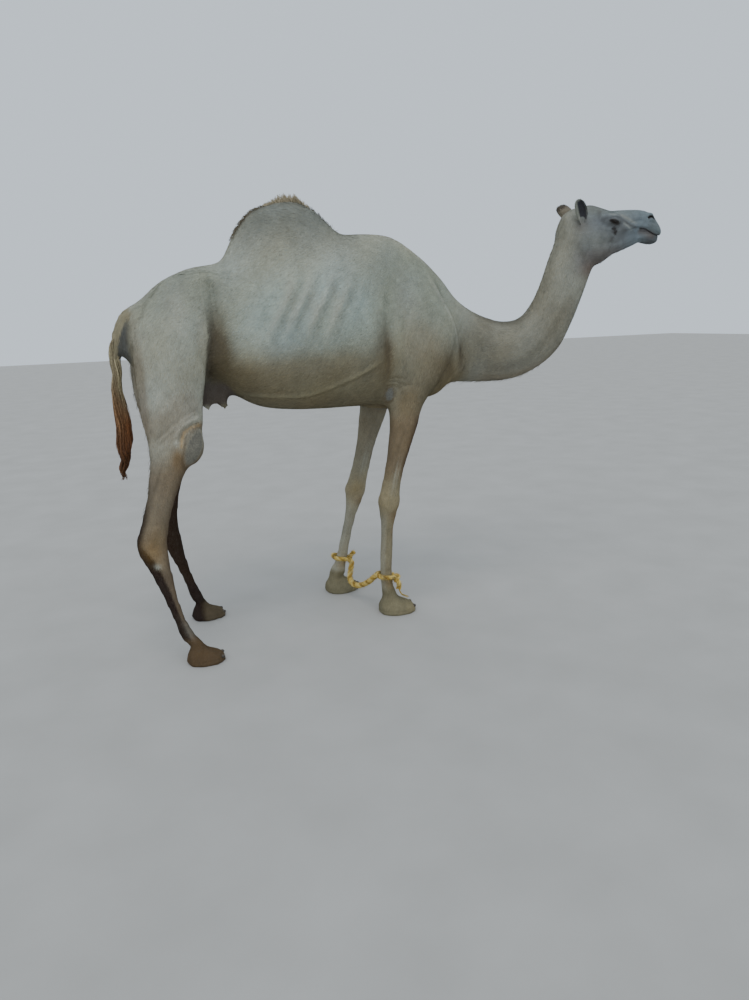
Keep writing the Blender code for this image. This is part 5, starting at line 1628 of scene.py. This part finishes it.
def tufts(name, skin, roots, normals, way, length, region, colours):
    # each tuft is a thin closed leaf: a sunken root, two side corners on the skin and a tip just off it
    count = len(roots)
    across = np.cross(normals, way)
    sway = rng.normal(0, coatMake["sway"], count)[:, None]
    way = unit(way + sway * across)
    across = np.cross(normals, way)
    length = (length * rng.uniform(0.70, 1.30, count))[:, None]
    half = length * coatMake["slim"] / 2 * rng.uniform(0.8, 1.2, (count, 1))
    lean = half * rng.normal(0, 0.16, (count, 1))
    middle = roots + way * length * 0.36
    spots = np.stack([middle - across * half, middle + across * half, roots + way * length], axis=1)
    spots = grounded(skin, spots.reshape(-1, 3)).reshape(-1, 3, 3)
    flat, tip = coatMake["flat"], (coatMake["tip"] + 0.030 * length) * rng.uniform(0.6, 1.5, (count, 1))
    points = np.stack([
        roots - normals * coatMake["sunk"],
        spots[:, 0] + normals * (flat + lean),
        spots[:, 1] + normals * (flat - lean),
        spots[:, 2] + normals * tip,
    ], axis=1)
    points[:, :, 2] = np.maximum(points[:, :, 2], offFloor)
    triangles = np.array([(0, 2, 1), (1, 2, 3), (0, 1, 3), (0, 3, 2)])
    triangles = triangles[None] + 4 * np.arange(count)[:, None, None]
    shade = 1 + rng.normal(0, coatMake["shade"], (count, 1, 1))
    shade = shade * np.array([0.94, 1.0, 1.0, 1.08])[None, :, None]
    warm = 1 + rng.normal(0, 0.03, (count, 1, 1)) * np.array([1.0, 0.2, -1.0])
    dark = 1 - 0.30 * (rng.random((count, 1, 1)) < coatMake["darkShare"])
    dyed = np.clip(colours[:, None] * shade * warm * dark, 0.003, 1)
    marks = np.clip(chartOf(roots, region)[:, None] + patch[None], 0, 1)
    # the grain runs along a leaf: one number across it, one of its own
    grain = np.zeros((count, 4, 3))
    grain[:, 1, 0], grain[:, 2, 0] = -1, 1
    grain[:, :, 1] = rng.uniform(0, 90, (count, 1))
    grain[:, 3, 2] = 0.5
    points, triangles, dyed, grain = (rows.reshape(-1, 3) for rows in (points, triangles, dyed, grain))
    return bigPiece(name, points, triangles, coatMaterial, dyed, marks.reshape(-1, 2), grain=grain)


coatMake = {
    "cover": 0.80, "slim": 0.165, "sway": 0.17, "sunk": 0.0009, "flat": 0.00022, "tip": 0.00018,
    "shade": 0.085, "darkShare": 0.04, "most": 49000,
}


def growCoat(skin):
    def thickness(points, normals):
        length, grown = coatSize(points, normals)
        return grown * coatMake["cover"] / (0.5 * coatMake["slim"] * length**2)
    roots, normals, way = rootsOn(skin.data, thickness)
    length, _ = coatSize(roots, normals)
    colours = markings(roots, normals)
    regions = regionOf(roots)
    pieces = []
    for region, name in enumerate(("head", "neck", "flank_right", "flank_left", "hind_legs", "front_legs")):
        chosen = np.flatnonzero(regions == region)
        parts = math.ceil(len(chosen) / coatMake["most"])
        for part in range(parts):
            take = chosen[part::parts]
            label = f"coat_{name}" + (f"_{part + 1}" if parts > 1 else "")
            own = (rows[take] for rows in (roots, normals, way, length))
            pieces.append(tufts(label, skin, *own, region, colours[take]))
    return pieces


# long hair: tapered closed strands, bent and waved
def strands(centres, thick, around=4, taper=0.8):
    # centres (strand, ring, 3): a tube round each, pointed at its end; points, triangles, points of each
    count, rings = centres.shape[:2]
    run = unit(np.gradient(centres, axis=1))
    side = unit(np.cross(run, (0.31, 0.87, 0.38)))
    other = np.cross(run, side)
    t = np.linspace(0, 1, rings)
    width = (thick[:, None] * (1 - t**2 * taper))[:, :, None, None]
    angle = np.arange(around) * 2 * math.pi / around
    circle = np.cos(angle)[:, None] * side[:, :, None] + np.sin(angle)[:, None] * other[:, :, None]
    tube = (centres[:, :, None] + width * circle).reshape(count, -1, 3)
    tips = centres[:, -1] + run[:, -1] * thick[:, None] * 2
    points = np.concatenate([tube, centres[:, :1], tips[:, None]], axis=1)
    quads = gridFaces(rings, around)
    j = np.arange(around)
    k, first = (j + 1) % around, rings * around
    top, each = first - around, first + 2
    faces = [quads[:, [0, 1, 2]], quads[:, [0, 2, 3]], np.stack([j * 0 + first, k, j], 1),
             np.stack([j * 0 + first + 1, top + j, top + k], 1)]
    triangles = np.vstack(faces)[None] + each * np.arange(count)[:, None, None]
    return points.reshape(-1, 3), triangles.reshape(-1, 3), each


def bent(roots, start, fall, length, rings=4):
    # a hair leaves its root along one way and falls towards another: root + L (s t + f t^2)
    t = np.linspace(0, 1, rings)[None, :, None]
    bend = start[:, None] * t + (fall - start)[:, None] * 0.5 * t**2
    return roots[:, None] + length[:, None, None] * bend


def fringe(mesh):
    # longer hair on the hump's crest and slopes, nape, throat, jaw, ears and the thighs' rear edges
    def thickness(points, normals):
        x, y, z = points.T
        head, side = toHead(points), points[:, [0, 2]]
        middle = ramp(np.abs(y), 0.052, 0.016)
        amount = 66000.0 * (z > 1.985) * (x > -0.13) * (x < 0.08) * (normals[:, 2] > 0.3) * middle
        front = strokeOf(side, [(0.06, 2.01), (0.12, 1.96), (0.16, 1.93), (0.23, 1.895)], 0.020)
        back = strokeOf(side, [(-0.285, 1.855), (-0.215, 1.963), (-0.16, 1.998), (-0.1, 2.02)], 0.024, 0.1)
        amount += 26000 * middle * front * (normals[:, 2] > 0.4) + 26000 * middle * back
        nape = ramp(normals[:, 0], -0.45, -0.85) * (x > 1.22) * (z < 1.98) * (np.abs(normals[:, 1]) < 0.35)
        amount += 2600 * nape
        rear = (x < -0.68) * (x > -0.80) * (z > 0.62) * (z < 1.45) * (normals[:, 0] < -0.86)
        amount += 3500 * rear * (np.abs(y) > 0.11)
        under = (normals[:, 2] < -0.80) * (x > 0.75) * (x < 1.35) * (z < 1.30)
        amount += 1500 * under
        jaw = (head[:, 0] > 0.10) * (head[:, 0] < 0.50) * (head[:, 2] < 1.86) * (z > headLow)
        amount += 3500 * jaw * (normals[:, 2] < -0.6)
        rim = earPlace(points)
        amount += 62000 * (rim > 0.74) + 5000 * ((rim > 0) & (rim <= 0.74))
        return amount
    roots, normals, lie = rootsOn(mesh, thickness)
    count = len(roots)
    x, y, z = roots.T
    lie = unit(lie + rng.normal(0, 0.25, (count, 3)))
    lie -= (lie * normals).sum(axis=1)[:, None] * normals
    crest = (z > 1.985) & (x > -0.13) & (x < 0.08)
    slope = (z > 1.84) & (np.abs(x) < 0.30) & ~crest
    onEar = earPlace(roots) > 0
    length = rng.uniform(0.020, 0.036, count)
    tall = 0.35 + 0.65 * ramp(x, -0.110, -0.030) * ramp(x, 0.070, 0.035)
    length[crest] = (rng.uniform(0.016, 0.044, count) * tall)[crest]
    length[slope] = rng.uniform(0.012, 0.026, slope.sum())
    length[(z > headLow) & (x > 1.55)] *= 0.55
    length[onEar] = rng.uniform(0.006, 0.013, onEar.sum())
    length[(z > 1.30) & (x > 0.90) & ~onEar] *= 0.75
    stood = np.where(crest, 1.9, 0.35)[:, None]
    start = unit(normals * stood + lie * 0.8 + rng.normal(0, 0.15, (count, 3)))
    fall = unit(lie * 1.2 + normals * np.where(crest, 0.9, 0.1)[:, None] + (0, 0, -0.1))
    # the crest's hair stands up in locks that draw together at their tips
    lock, lean = np.zeros((count, 3)), np.zeros((count, 3))
    for group, locks in ((crest, 60), (slope, 90)):
        heads = roots[group][rng.integers(0, group.sum(), locks)]
        nearest = ((roots[group][:, None] - heads[None]) ** 2).sum(axis=2).argmin(axis=1)
        lock[group] = heads[nearest] - roots[group]
        lean[group] = (rng.normal(0, 1, (locks, 3)) * (0.26, 0.16, 0.05))[nearest]
    start[crest] = unit(normals[crest] * 0.5 + (0.05, 0, 0.9) + lean[crest])
    fall[crest] = unit((-0.15, 0, 0.9) + lean[crest] + lock[crest] / 0.020)
    start[slope] = unit(normals[slope] * 0.7 + lie[slope] * 0.6 + lean[slope])
    fall[slope] = unit(normals[slope] * 0.15 + lie[slope] * 1.1 + lean[slope] + lock[slope] / 0.022)
    thick = np.where(onEar, 0.00045, np.where(crest, 0.0010, 0.0009))
    points, triangles, each = strands(bent(roots - normals * 0.001, start, fall, length), thick, 3)
    colours = markings(roots, normals) * rng.uniform(0.85, 1.25, (count, 1))
    colours[crest] = tones["crest"] * rng.uniform(0.85, 1.60, (crest.sum(), 1))
    colours[slope] = 0.5 * colours[slope] + 0.5 * tones["gaskin"] * rng.uniform(0.80, 1.50, (slope.sum(), 1))
    colours = np.repeat(np.clip(colours, 0.003, 1), each, axis=0)
    regions = regionOf(roots)
    marks = np.zeros((count, 2))
    for region in range(6):
        chosen = regions == region
        cell = np.array([region % 3, region // 3]) / 3
        marks[chosen] = cell + chartOf(roots[chosen], region) / 3.1
    marks = np.repeat(marks, each, axis=0)
    marks[:, 1] += np.tile(np.linspace(-0.0014, 0.0014, each), count)
    marks[:, 0] += np.tile(np.array([-0.0010, 0.0010] * each)[:each], count)
    return bigPiece("coat_long", points, triangles, coatMaterial, colours, np.clip(marks, 0, 1))


def earPlace(points):
    # how near the ear's rim a place is: 0 off the ear, 1 on the rim
    head = toHead(points)
    up, outer, _ = earOwn(head)
    near = np.clip(np.abs(outer) / earWidth + 0.5 * ramp(up, 0.09, 0.125), 0.01, 1)
    return np.where(isEar(head, points[:, 2]), near, 0)


def growSwitch():
    # the tail's switch: waved locks round the hanging core, its end split in two points
    path = smoothRows([(x, 0.0, z, r) for x, z, r in switchMake["dock"] + tailSwitch], 4)
    count, rings = switchMake["locks"], switchMake["rings"]
    t = np.linspace(0, 1, rings)[None, :]
    begin = rng.uniform(0.0, 0.62, count)[:, None]
    end = np.clip(begin + rng.uniform(0.28, 0.50, count)[:, None], 0, 1.0)
    along = (begin + (end - begin) * t) * (len(path) - 1)
    at = [np.interp(along, np.arange(len(path)), path[:, column]) for column in range(4)]
    angle = rng.uniform(0, 2 * math.pi, count)[:, None] + along / len(path) * switchMake["twist"]
    outer = np.maximum(rng.uniform(0.30, 1.0, count)[:, None], ramp(along, 8.0, 5.0))
    spread = outer * (0.80 + 0.20 * np.sin(angle * 1.7 + along * 0.6)) * (0.62 + 0.38 * ramp(t, 0.0, 0.25))
    share = along / (len(path) - 1)
    wave = 0.0065 * np.sin(share * 27 + rng.normal(0, 0.55, count)[:, None]) * ramp(share, 0.20, 0.50)
    halves = np.where(np.sin(angle[:, :1]) > 0, 1, -1) * 0.010 * ramp(share, 0.80, 1.0)
    x = at[0] + at[3] * spread * np.cos(angle) + wave + halves
    y = at[1] + at[3] * spread * np.sin(angle) + 0.6 * wave
    z = at[2] + 0 * x
    centres = np.stack([x, y, z], axis=2)
    thick = rng.uniform(0.0010, 0.0030, count)
    points, triangles, each = strands(centres, thick, 5, 0.85)
    depth = np.repeat(spread[:, :1], each, axis=1).ravel()
    height = points[:, 2]
    colours = np.tile(tones["rust"], (len(points), 1))
    colours += ramp(height, 1.06, 1.26)[:, None] * 0.97 * (1.75 * tones["tailTop"] - colours)
    rear = np.repeat(ramp(np.cos(angle[:, 0]), 0.1, -0.8), each)
    blond = 0.18 + 0.55 * ramp(height, 0.98, 1.10) + 0.45 * ramp(height, 0.90, 0.84)
    blond = blond * rear * ramp(height, 1.36, 1.14)
    colours += np.clip(blond, 0, 0.75)[:, None] * (tones["blond"] - colours)
    # locks further inside the switch are painted darker, as shade among the locks
    shade = np.repeat(rng.uniform(0.65, 1.40, count), each) * (0.70 + 0.40 * depth)
    colours *= (shade * (1 - 0.30 * ramp(height, 1.08, 0.95)))[:, None]
    colours = np.clip(colours, 0.003, 1)
    root = np.stack([0.5 + 0.46 * np.sin(angle[:, 0]), 0.03 + 0.94 * begin[:, 0]], axis=1)
    marks = np.repeat(root, each, axis=0)
    marks[:, 1] += np.tile(np.linspace(-0.0014, 0.0014, each), count)
    piece = bigPiece("tail_locks", points, triangles, switchMaterial, colours, np.clip(marks, 0, 1), True)
    return piece


switchMake = {
    "locks": 520, "rings": 15, "twist": 3.0,
    "dock": [(-0.818, 1.470, 0.024), (-0.834, 1.400, 0.024), (-0.840, 1.320, 0.027), (-0.838, 1.220, 0.031)],
}


# the skin and its coat
skin = makeSkin()
finishSkin(skin)
skinPoints, _ = net(skin.data)
skinNormals = normalsOf(skin.data)
dye(skin.data, markings(skinPoints, skinNormals))
pads, _ = padsOf(skinPoints)
headSpots = toHead(skinPoints)
lips = strokeOf(headSpots[:, [0, 2]], mouthLine, 0.010, 0.1)
lips *= (skinPoints[:, 2] > headLow) & (headSpots[:, 0] > 0.3)
bare = np.clip(np.max([pads, lips, 0.7 * onUdder(skinPoints, 0.95)], axis=0), 0, 1)
hanging = ramp(np.abs(unit(lieOf(skinPoints))[:, 2]), 0.60, 0.90)
for name, values in (("bare", bare), ("upright", hanging)):
    skin.data.attributes.new(name, "FLOAT", "POINT").data.foreach_set("value", values)
print("skin", len(skin.data.polygons))
coats = growCoat(skin)
coats.append(fringe(skin.data))
skin.data.transform(Matrix.Translation(barrel))
skin.data.materials.append(hideMaterial)
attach(skin, "root")
flesh = ("ear", "foot", "head", "leg", "neck", "trunk", "udder")
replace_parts(skin, "tail", *[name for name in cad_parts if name.startswith(flesh)])
tailLocks = growSwitch()
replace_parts(tailLocks, "tail_switch")


# eyes
def makeEye(name, side):
    # a ball whose front bulges a little as its cornea, with a broad flat pupil
    latitude = np.linspace(0, math.pi, 34)[1:-1, None]
    bulge = 1 + 0.045 * ramp(latitude, 0.75, 0.30)[..., None]
    points, faces = capped(np.stack(ball(32, 48), axis=2)[::-1] * bulge * eyeRadius)
    points[-2:] = [(0, 0, eyeRadius * 1.045), (0, 0, -eyeRadius)]
    way = unit(np.array([[0.30, side * 0.94, -0.06]]))[0]
    up = unit(np.cross(np.cross(way, (0, 0, 1)), way)[None])[0]
    turned = points @ np.stack([np.cross(up, way), up, way])
    centre = np.multiply(eyeCentre, (1, side, 1))
    whole = (turned + centre) @ headPlace[1] + headPlace[0]
    eye = makePiece(name, whole + barrel, faces)
    u, v, w = points.T / eyeRadius
    colours = np.tile((0.014, 0.009, 0.007), (len(points), 1))
    iris, pupil = ramp(np.hypot(u, v), 0.66, 0.60), ramp(np.hypot(u / 0.36, v / 0.20), 1.1, 0.9)
    for mask, tone in ((iris, (0.034, 0.018, 0.010)), (pupil, (0.002, 0.002, 0.002))):
        colours += ((w > 0) * mask)[:, None] * (tone - colours)
    dye(eye.data, colours)
    eye.data.materials.append(eyeMaterial)
    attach(eye, "root")
    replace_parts(eye, "eye_right" if side < 0 else "eye_left")
    # lashes: a row from the upper lid's edge, sweeping out and down, and a sparse lower row
    slant = math.radians(eyeMake["slant"])
    rows = []
    for count, edge, longest, drop in ((90, "above", 0.021, -1.10), (30, "below", 0.007, -0.5)):
        u = rng.uniform(-0.96, 0.96, count) * eyeMake["halfLength"]
        v = eyeMake[edge] * (1 - (u / eyeMake["halfLength"]) ** 2) * (1 if edge == "above" else -1)
        lid = eyeCentre[1] + np.sqrt((eyeRadius + eyeMake["lid"]) ** 2 - u**2 - v**2) - 0.0012
        f = eyeCentre[0] + u * math.cos(slant) - v * math.sin(slant)
        h = eyeCentre[2] + u * math.sin(slant) + v * math.cos(slant)
        roots = np.stack([f, lid * side, h], axis=1)
        fan = u / eyeMake["halfLength"]
        start, fall = (
            unit(np.outer(fan, (wide, 0, 0)) + (0, out, rise) + rng.normal(0, 0.10, (count, 3)))
            for wide, out, rise in ((0.35, side, -0.15), (0.55, 0.7 * side, drop)))
        length = longest * rng.uniform(0.7, 1.1, count) * (1 - 0.4 * np.abs(fan))
        rows.append(bent(roots, start, fall, length, 6))
    centres = np.concatenate(rows) @ headPlace[1] + headPlace[0]
    points, triangles, _ = strands(centres, np.full(len(centres), 0.00055), 4, 0.85)
    lashes = bigPiece(name.replace("eyeball", "lashes"), points, triangles, lashMaterial, smooth=True)


makeEye("eyeball_right", -1)
makeEye("eyeball_left", 1)


# nails
def makeNail(node):
    # a domed horn cap round the CAD nail's own middle, ridged across and worn flat at its edge
    low, high = (np.array(corner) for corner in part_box(node))
    middle, half = (low + high) / 2 - (0.004, 0, 0.004), (high - low) / 2 * 0.66
    x, y, z = ball(24, 40)
    ridge = 1 + 0.018 * np.sin(13 * x + 2 * y)
    worn = np.maximum(z, -0.72 + 0.06 * np.sin(5 * np.arctan2(y, x)))
    lean = np.where(x > 0, 1 - 0.34 * x**2, 1)
    shaped = np.stack([x * ridge, y * ridge * lean, worn * ridge * lean], axis=2)
    points, faces = capped(shaped * half + middle)
    points[-2:] = (0, 0, -0.72 * half[2]) + middle, (0, 0, half[2]) + middle
    nail = makePiece(node.replace("nail", "horn"), points, faces)
    nail.data.materials.append(nailMaterial)
    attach(nail, "root")
    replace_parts(nail, node)


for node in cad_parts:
    if node.startswith("nail"):
        makeNail(node)
print("eyes and nails")


# hobble: twisted rope round both front pasterns, and the length that hangs between them
ropeMake = {
    "ring": 0.0110, "link": 0.0140, "knot": 0.0085, "height": 0.205, "slack": 0.003, "turn": 0.062,
    "yarns": 5, "fluting": 0.08,
}
linkRoute = smoothRows([
    (0.2742, 0.1892, 0.1979), (0.2825, 0.1773, 0.1862), (0.2700, 0.1640, 0.1500), (0.2580, 0.1460, 0.1140),
    (0.2580, 0.1120, 0.0910), (0.2740, 0.0620, 0.0910), (0.2940, 0.0050, 0.1180), (0.3080, -0.0500, 0.1550),
    (0.3165, -0.0879, 0.1874), (0.3258, -0.1024, 0.1987),
], 3)
ropeTones = np.array([toneOf(212, 182, 98), toneOf(176, 140, 60), toneOf(226, 204, 130)])


def evenly(route, step):
    # the same route in equal steps
    run = np.concatenate([[0], np.cumsum(np.linalg.norm(np.diff(route, axis=0), axis=1))])
    spots = np.linspace(0, run[-1], max(8, round(run[-1] / step)))
    return np.stack([np.interp(spots, run, route[:, axis]) for axis in range(3)], axis=1), spots


def twisted(route, radius, turns=None, fray=0.0):
    # three strands winding round a route; each strand is fluted by its own yarns
    route, run = evenly(smoothRows(route, 6), 0.0028)
    along = unit(np.gradient(route, axis=0))
    side = [unit(np.cross(along[0], (0.21, 0.32, 0.93))[None])[0]]
    for way in along[1:]:
        side.append(unit((side[-1] - side[-1] @ way * way)[None])[0])
    side = np.array(side)
    other = np.cross(along, side)
    turns = turns or run[-1] / ropeMake["turn"] * 0.014 / radius
    points, triangles, colours, around = [], [], [], 15
    angle = np.arange(around) * 2 * math.pi / around
    share = run / run[-1]
    for strand in range(3):
        swing = 2 * math.pi * (strand / 3 + turns * share)
        loose = 1 + fray * ramp(share, 0.6, 1.0)
        middle = route + (0.50 * radius * loose)[:, None] * (
            np.cos(swing)[:, None] * side + np.sin(swing)[:, None] * other)
        flute = 1 + ropeMake["fluting"] * np.cos(ropeMake["yarns"] * angle[None, :] - 3 * swing[:, None])
        size = 0.56 * radius * flute
        ring = middle[:, None] + size[..., None] * (
            np.cos(angle)[None, :, None] * side[:, None] + np.sin(angle)[None, :, None] * other[:, None])
        shaped, faces = capped(ring)
        quads = np.array([face for face in faces if len(face) == 4])
        ends = np.array([face for face in faces if len(face) == 3])
        start = sum(map(len, points))
        triangles += [quads[:, [0, 2, 1]] + start, quads[:, [0, 3, 2]] + start, ends[:, ::-1] + start]
        tint = np.tile(ropeTones[strand], (len(shaped), 1))
        # painted shade in the grooves between each strand's yarns, brighter on their crowns
        tint[:-2] *= (0.52 + 0.54 * flute / (1 + ropeMake["fluting"])).ravel()[:, None]
        points.append(shaped)
        colours.append(tint)
    return (np.vstack(points), np.vstack(triangles), np.vstack(colours)), route, along, radius


def fibresOn(route, along, radius, fuzz):
    # loose fibres standing off a rope
    count = max(12, int(fuzz * len(route)))
    at = rng.integers(2, len(route) - 2, count)
    out = unit(np.cross(along[at], rng.normal(size=(count, 3))))
    way = unit(out * 0.7 + along[at] * rng.choice((-1, 1), (count, 1)) + rng.normal(0, 0.3, (count, 3)))
    roots = route[at] + out * radius * rng.uniform(0.75, 0.98, (count, 1))
    centres = bent(roots, way, unit(way + (0, 0, -0.5)), rng.uniform(0.006, 0.018, count))
    hairs, corners, each = strands(centres, np.full(count, 0.00042), 3)
    return hairs, corners, np.repeat(ropeTones[2] * rng.uniform(0.8, 1.2, (count, 1)), each, axis=0)


def ropePiece(name, parts):
    points, triangles, colours, start = [], [], [], 0
    for shaped, corners, tint in parts:
        points.append(shaped)
        triangles.append(corners + start)
        colours.append(tint)
        start += len(shaped)
    whole = np.vstack(points)
    whole[:, 2] = np.maximum(whole[:, 2], offFloor)
    colours = np.clip(np.vstack(colours), 0.003, 1)
    piece = bigPiece(name, whole, np.vstack(triangles), ropeMaterial, colours, smooth=True)
    return piece


def ropeParts(*ropes, fuzz=5):
    # the strands of each rope with its fibres
    parts = []
    for strandsOf, route, along, radius in ropes:
        parts += [strandsOf, fibresOn(route, along, radius, fuzz)]
    return parts


def ringRoute(slices, tilt):
    # round a pastern, a rope's radius off its skin, lower in front
    back, front, middle, half = legAt(slices, ropeMake["height"])
    reach = ropeMake["slack"] + ropeMake["ring"]
    turn = np.linspace(0.6, 0.6 + 2 * math.pi, 40)
    x = (back + front) / 2 + ((front - back) / 2 + reach) * np.cos(turn)
    y = middle + (half + reach) * np.sin(turn)
    z = ropeMake["height"] - tilt * np.cos(turn) + 0.002 * np.sin(3 * turn)
    return np.stack([x, y, z], axis=1)


def trefoil(centre, size):
    t = np.linspace(0, 2 * math.pi, 30)[:-1]
    x, y, z = np.sin(t) + 2 * np.sin(2 * t), -1.1 * np.sin(3 * t), np.cos(t) - 2 * np.cos(2 * t)
    return np.stack([x, y, z], axis=1) * size / 3 + centre


linkStrands, linkPath, linkAlong, _ = twisted(linkRoute, ropeMake["link"])
link = ropePiece("rope_link", [linkStrands])
linkFibres = ropePiece("rope_link_fibres", [fibresOn(linkPath, linkAlong, ropeMake["link"], 6)])
tuple(linkPath[0] + barrel)
(linkPath + barrel).tolist()
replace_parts(link, "hobble_link")
stub = [(0.286, 0.213, 0.200), (0.291, 0.214, 0.214), (0.300, 0.210, 0.226), (0.308, 0.203, 0.238)]
tail = [(0.398, -0.196, 0.186), (0.405, -0.198, 0.172), (0.408, -0.195, 0.156), (0.405, -0.190, 0.141)]
knot = trefoil((0.393, -0.190, 0.200), 0.0165)
made = (
    ("ring_left", ropeParts(twisted(ringRoute(foreLeftSlices, 0.012), ropeMake["ring"], 6))),
    ("ring_right", ropeParts(twisted(ringRoute(foreRightSlices, 0.008), ropeMake["ring"], 6))),
    ("end_left", ropeParts(twisted(stub, 0.0105, fray=0.5), fuzz=9)),
    ("knot_right", ropeParts(twisted(knot, ropeMake["knot"], 4), twisted(tail, 0.0115, fray=0.6), fuzz=8)),
)
for name, parts in made:
    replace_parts(ropePiece("rope_" + name, parts), "hobble_" + name)
wisp = smoothRows([
    (0.405, -0.191, 0.150), (0.414, -0.188, 0.124), (0.430, -0.178, 0.100), (0.452, -0.166, 0.083),
    (0.474, -0.160, 0.070),
], 3)
apart = rng.normal(0, 0.0022, (14, 1, 3)) * np.linspace(0.4, 1.6, len(wisp))[None, :, None]
points, triangles, _ = strands(wisp[None] + apart, np.full(14, 0.0011), 4, 0.6)
ropePiece("rope_wisp", [(points, triangles, np.tile(ropeTones[0], (len(points), 1)))])
print("rope")


# floor, light and the end
floor = makePiece("floor", [(-30, -30, 0), (30, -30, 0), (30, 30, 0), (-30, 30, 0)], [(0, 1, 2, 3)])


def floorLooks(wire, place):
    grain = wire.noise(place, 3.0, 4.0)
    fine = wire.noise(place, 160, 3.0)
    colour = wire.tinted(wire.band(grain, 0.3, 0.7), (0.40, 0.39, 0.37, 1), (0.44, 0.43, 0.41, 1))
    return looks(colour, 0.80 + fine * 0.1, wire.bump(fine, 0.001, 0.2))


floor.data.materials.append(material("floor", {"Specular IOR Level": 0.15}, floorLooks))

sky = bpy.data.worlds.new("sky")
sky.use_nodes = True
sky.node_tree.nodes["Background"].inputs["Color"].default_value = (0.78, 0.88, 0.98, 1)
sky.node_tree.nodes["Background"].inputs["Strength"].default_value = 0.95
bpy.context.scene.world = sky
lamps = [  # name, where it stands, strength, spread in degrees, tint
    ("key", (-1.5, -3.0, 6.5), 0.95, 40, (1.0, 0.985, 0.96)),
    ("back", (-2.0, 5.0, 4.0), 0.20, 60, (0.94, 0.97, 1.0)),
]
for name, spot, power, spread, tint in lamps:
    lamp = linked(name, bpy.data.lights.new(name, "SUN"))
    lamp.data.energy, lamp.data.angle, lamp.data.color = power, math.radians(spread), tint
    lamp.rotation_euler = (-Vector(spot)).to_track_quat("-Z", "Y").to_euler()
